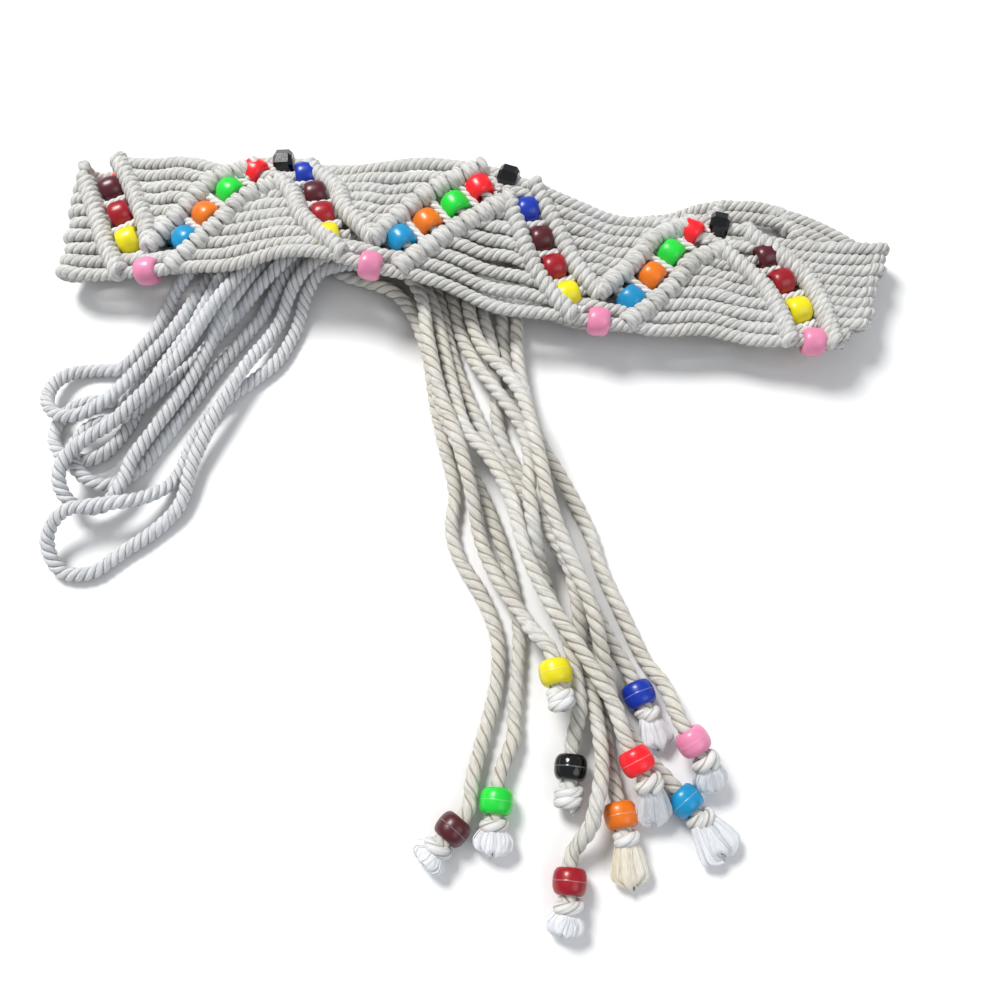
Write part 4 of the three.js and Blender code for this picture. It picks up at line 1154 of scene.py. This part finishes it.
def tuft(gather, origin, axis, side, top, length, width, bulb, strands):
    """Frayed strands that fan out from a knot: a soft grooved mass, with painted shade in its grooves, and
    loose yarns over it.
    """
    def half_width(t):
        fan = FAN_START + (1 - FAN_START) * np.clip(t / (BULB_FAN if bulb else OPEN_FAN), 0, 1)**FAN_POWER
        if bulb:
            fan = fan * rounded(t, *BULB_CURVE)
        return width / 2 * fan

    def half_height(t):
        tall = np.clip(half_width(t) * TUFT_HEIGHT, 0, TUFT_THICKNESS / 2)
        return tall if bulb else tall * (1 - OPEN_SINK * t)

    t = np.linspace(0, 1, TUFT_ROWS)
    angle = around(TUFT_SIDES)
    groove = waves(angle, GROOVES)
    ragged = waves(angle, RAGGED_END)
    close = rounded(t, *CLOSING_CURVE)[:, None]
    x = t[:, None] * length * MASS_REACH * (1 + (ragged - 1)[None, :] * t[:, None]**2)
    deep = 1 + (groove - 1)[None, :] * (GROOVE_START + GROOVE_GROWTH * t[:, None])
    y = half_width(t)[:, None] * np.cos(angle) * deep * close
    z = half_height(t)[:, None] * np.sin(angle) * deep * close
    verts = origin + x[..., None] * axis + y[..., None] * side + z[..., None] * top
    uv = np.stack(np.broadcast_arrays(t[:, None] * length, angle[None, :] * 4), axis=-1)
    # Painted shade: the deeper grooves of the mass take the groove colour
    ply = np.broadcast_to(np.clip((groove - 0.92) / 0.1, 0, 1), (TUFT_ROWS, TUFT_SIDES))
    gather.add(verts.reshape(-1, 3), tube_faces(TUFT_ROWS, TUFT_SIDES), uv.reshape(-1, 2),
               ply.reshape(-1), 0.0)
    for _ in range(strands):
        phi = rng.uniform(0, 2 * math.pi)
        depth = rng.uniform(0.93, 1.04)
        reach = length * rng.uniform(0.84, 0.99)
        ts = np.linspace(0.02, 1, 12)
        p = phi + rng.uniform(-0.2, 0.2) * ts + 0.05 * np.sin(ts * rng.uniform(4, 9) + rng.uniform(0, 6))
        close = rounded(ts, *CLOSING_CURVE)
        wide, tall = half_width(ts) * depth * close, half_height(ts) * depth * close
        local = (ts * reach)[:, None] * axis + (wide * np.cos(p))[:, None] * side \
            + (tall * np.sin(p))[:, None] * top
        line = origin + local
        line[:, 2] = np.maximum(line[:, 2], YARN_FLOOR)
        yarn(gather, line, rng.uniform(0.13, 0.26))


def yarn(gather, line, radius):
    count = len(line)
    size = radius * np.linspace(1, YARN_TIP, count)
    angle = around(YARN_SIDES)
    verts = tube_points(line, size[:, None], angle)
    s = np.linspace(0, length_of(line), count)
    uv = np.stack(np.broadcast_arrays(s[:, None], angle[None, :] * radius), axis=-1)
    gather.add(verts.reshape(-1, 3), tube_faces(count, YARN_SIDES), uv.reshape(-1, 2),
               np.ones(count * YARN_SIDES), rng.uniform(-1, 1))


for route in FRINGE_ROUTES:
    name = route["name"]
    start, lead = start_of(route["cord"], -CLEARANCE), start_of(route["cord"], -CORD)
    knot_at, tip = np.array(route["points"][-1]), np.array(route["tip"])
    heading = unit(tip - knot_at)
    past = knot_at + heading * (BEAD_LENGTH / 2 + KNOT_LENGTH / 2)
    tail = float(np.linalg.norm(tip - knot_at))

    def radius_at(s, total, tail=tail):
        beyond = s - (total - tail)
        if beyond < -BEAD_LENGTH / 2 - LAY_SPACING:
            return CORD / 2
        return BEAD / 2 if beyond < BEAD_LENGTH / 2 + KNOT_LENGTH else TUFT_THICKNESS / 2

    plan = [start[:2], lead[:2], *route["points"], past, tip]
    samples = lay_cord(plan, radius_at, False)
    total = length_of(samples[:, :2])
    share = (total - tail) / total
    curve = spline(samples, 0.8)
    bead_centre = along(curve, share)
    knot_centre = along(curve, share + (BEAD_LENGTH / 2 + CLEARANCE + KNOT_LENGTH / 2) / total)
    knot_centre[2] = max(knot_centre[2], KNOT / 2 + CLEARANCE)
    axis = unit(knot_centre - bead_centre)
    side = unit(np.cross([0, 0, 1], axis))
    top = np.cross(axis, side)
    node_name = "fringe_bead_" + name

    count = int(total * share / LAY_SPACING + 0.5)
    points = [along(curve, share * k / count) for k in range(0, count, 2)]
    points = [p for p in points if np.linalg.norm(p - bead_centre) > BEAD_LENGTH * BEAD_APPROACH]
    points += [bead_centre - axis * BEAD_LENGTH * BEAD_ENTRY, bead_centre, knot_centre - axis * CORD_PAST]
    line = spline(points, 1.0)
    gather = Gather()
    rope(gather, line, CORD / 2 * FREE_SIZE, FREE_LAY, sides=FREE_SIDES, step=FREE_STEP, relief=FREE_RELIEF)
    cord_piece = gather.make("cord_" + name, free_cotton, "cotton_cord")
    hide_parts("fringe_cord_" + name)
    bead_obj = bead_piece("shown_" + node_name, name, bead_centre, axis, top, seam=True)
    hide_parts(node_name)

    gather = Gather()
    end, width, bulb, strands, turns, knot_long, out = TUFTS[name]
    local = knot_line(turns, knot_long, out)
    middle = bead_centre + axis * (BEAD_LENGTH / 2 + knot_long / 2 + KNOT_AFTER_BEAD)
    knot = middle + local[:, :1] * axis + local[:, 1:2] * side + local[:, 2:3] * top
    knot[:, 2] = np.maximum(knot[:, 2], KNOT_FLOOR)
    rope(gather, spline(knot, KNOT_STEP), KNOT_ROPE, KNOT_LAY, step=KNOT_STEP, relief=KNOT_RELIEF)
    tuft_origin = middle + axis * knot_long * TUFT_IN_KNOT
    tip3 = np.array([*end, TUFT_THICKNESS / 2])
    reach = np.linalg.norm(tip3 - tuft_origin)
    tuft_axis = unit(tip3 - tuft_origin)
    tuft_side = unit(np.cross([0, 0, 1], tuft_axis))
    tuft_top = np.cross(tuft_axis, tuft_side)
    if strands:
        fray = Gather()
        tuft(fray, tuft_origin, tuft_axis, tuft_side, tuft_top, reach, width, bulb, strands)
        cotton_here = stained_cotton if name == "orange" else tuft_cotton
        fray.make("tuft_" + name, cotton_here, "cotton_cord")
    knot_piece = gather.make("knot_" + name, knot_cotton, "cotton_cord")

# The five loops
LOOP_LAY = 7.6
LOOP_RELIEF = 0.8
for route in LOOP_ROUTES:
    u0, u1 = coarse.length + LOOP_START, coarse.length + CORD
    first, second = start_of(route["cord"], u0), start_of(route["cord"] + 1, u0)
    first_lead, second_lead = start_of(route["cord"], u1), start_of(route["cord"] + 1, u1)
    plan = [second[:2], second_lead[:2], *route["points"], first_lead[:2], first[:2]]
    samples = lay_cord(plan, lambda s, total: CORD / 2, True)
    line = spline(samples[::2] if len(samples) % 2 else [*samples[::2], samples[-1]], 1.0)
    gather = Gather()
    rope(gather, line, CORD / 2 * FREE_SIZE, LOOP_LAY, sides=FREE_SIDES, step=FREE_STEP, relief=LOOP_RELIEF)
    piece = gather.make("cord_" + route["name"], loop_cotton, "cotton_cord")
    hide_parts(route["name"])

# Floor, light and camera, in metres and degrees
FLOOR_HALF = 3
FLOOR_DROP = 0.0001
FLOOR_COLOUR = (0.93, 0.93, 0.93, 1)
SKY_COLOUR = (0.93, 0.96, 1.0, 1)
SKY_STRENGTH = 0.42
LENS = 36
CAMERA_ELEVATION = 68
CAMERA_DISTANCE = 0.3037
floor_mesh = bpy.data.meshes.new("floor")
floor_corners = [(x * FLOOR_HALF, y * FLOOR_HALF, 0) for x, y in ((-1, -1), (1, -1), (1, 1), (-1, 1))]
floor_mesh.from_pydata(floor_corners, [], [(0, 1, 2, 3)])
floor = bpy.data.objects.new("floor", floor_mesh)
floor.location.z = -FLOOR_DROP
bpy.context.scene.collection.objects.link(floor)
paper, paper_tree, paper_bsdf = shader("floor_paper")
finish(paper_bsdf, {"Base Color": FLOOR_COLOUR, "Roughness": 0.9})
floor_mesh.materials.append(paper)
floor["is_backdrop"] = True

aim = Vector((shift[0], shift[1], 0)) * METRE


def turn_to_aim(obj, offset):
    obj.location = aim + Vector(offset)
    obj.rotation_mode = "QUATERNION"
    obj.rotation_quaternion = (aim - obj.location).to_track_quat("-Z", "Y")
    bpy.context.scene.collection.objects.link(obj)


def area_light(name, offset, size, power, colour):
    light = bpy.data.lights.new(name, "AREA")
    light.shape = "DISK"
    light.size = size
    light.energy = power
    light.color = colour
    turn_to_aim(bpy.data.objects.new(name, light), offset)


area_light("key", offset=(-0.45, 0.5, 0.9), size=0.42, power=12.5, colour=(1.0, 0.985, 0.96))
area_light("fill", offset=(0.7, -0.5, 0.9), size=0.9, power=3.2, colour=(0.93, 0.96, 1.0))
world_light = bpy.data.worlds.new("studio")
world_light.use_nodes = True
finish(world_light.node_tree.nodes["Background"], {"Color": SKY_COLOUR, "Strength": SKY_STRENGTH})
bpy.context.scene.world = world_light

camera = bpy.data.cameras.new("camera")
camera.lens = LENS
camera.sensor_width = LENS
camera.clip_start = 0.01
camera_object = bpy.data.objects.new("camera", camera)
elevation = math.radians(CAMERA_ELEVATION)
turn_to_aim(camera_object, Vector((0, -math.cos(elevation), math.sin(elevation))) * CAMERA_DISTANCE)
bpy.context.scene.camera = camera_object

low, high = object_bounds()
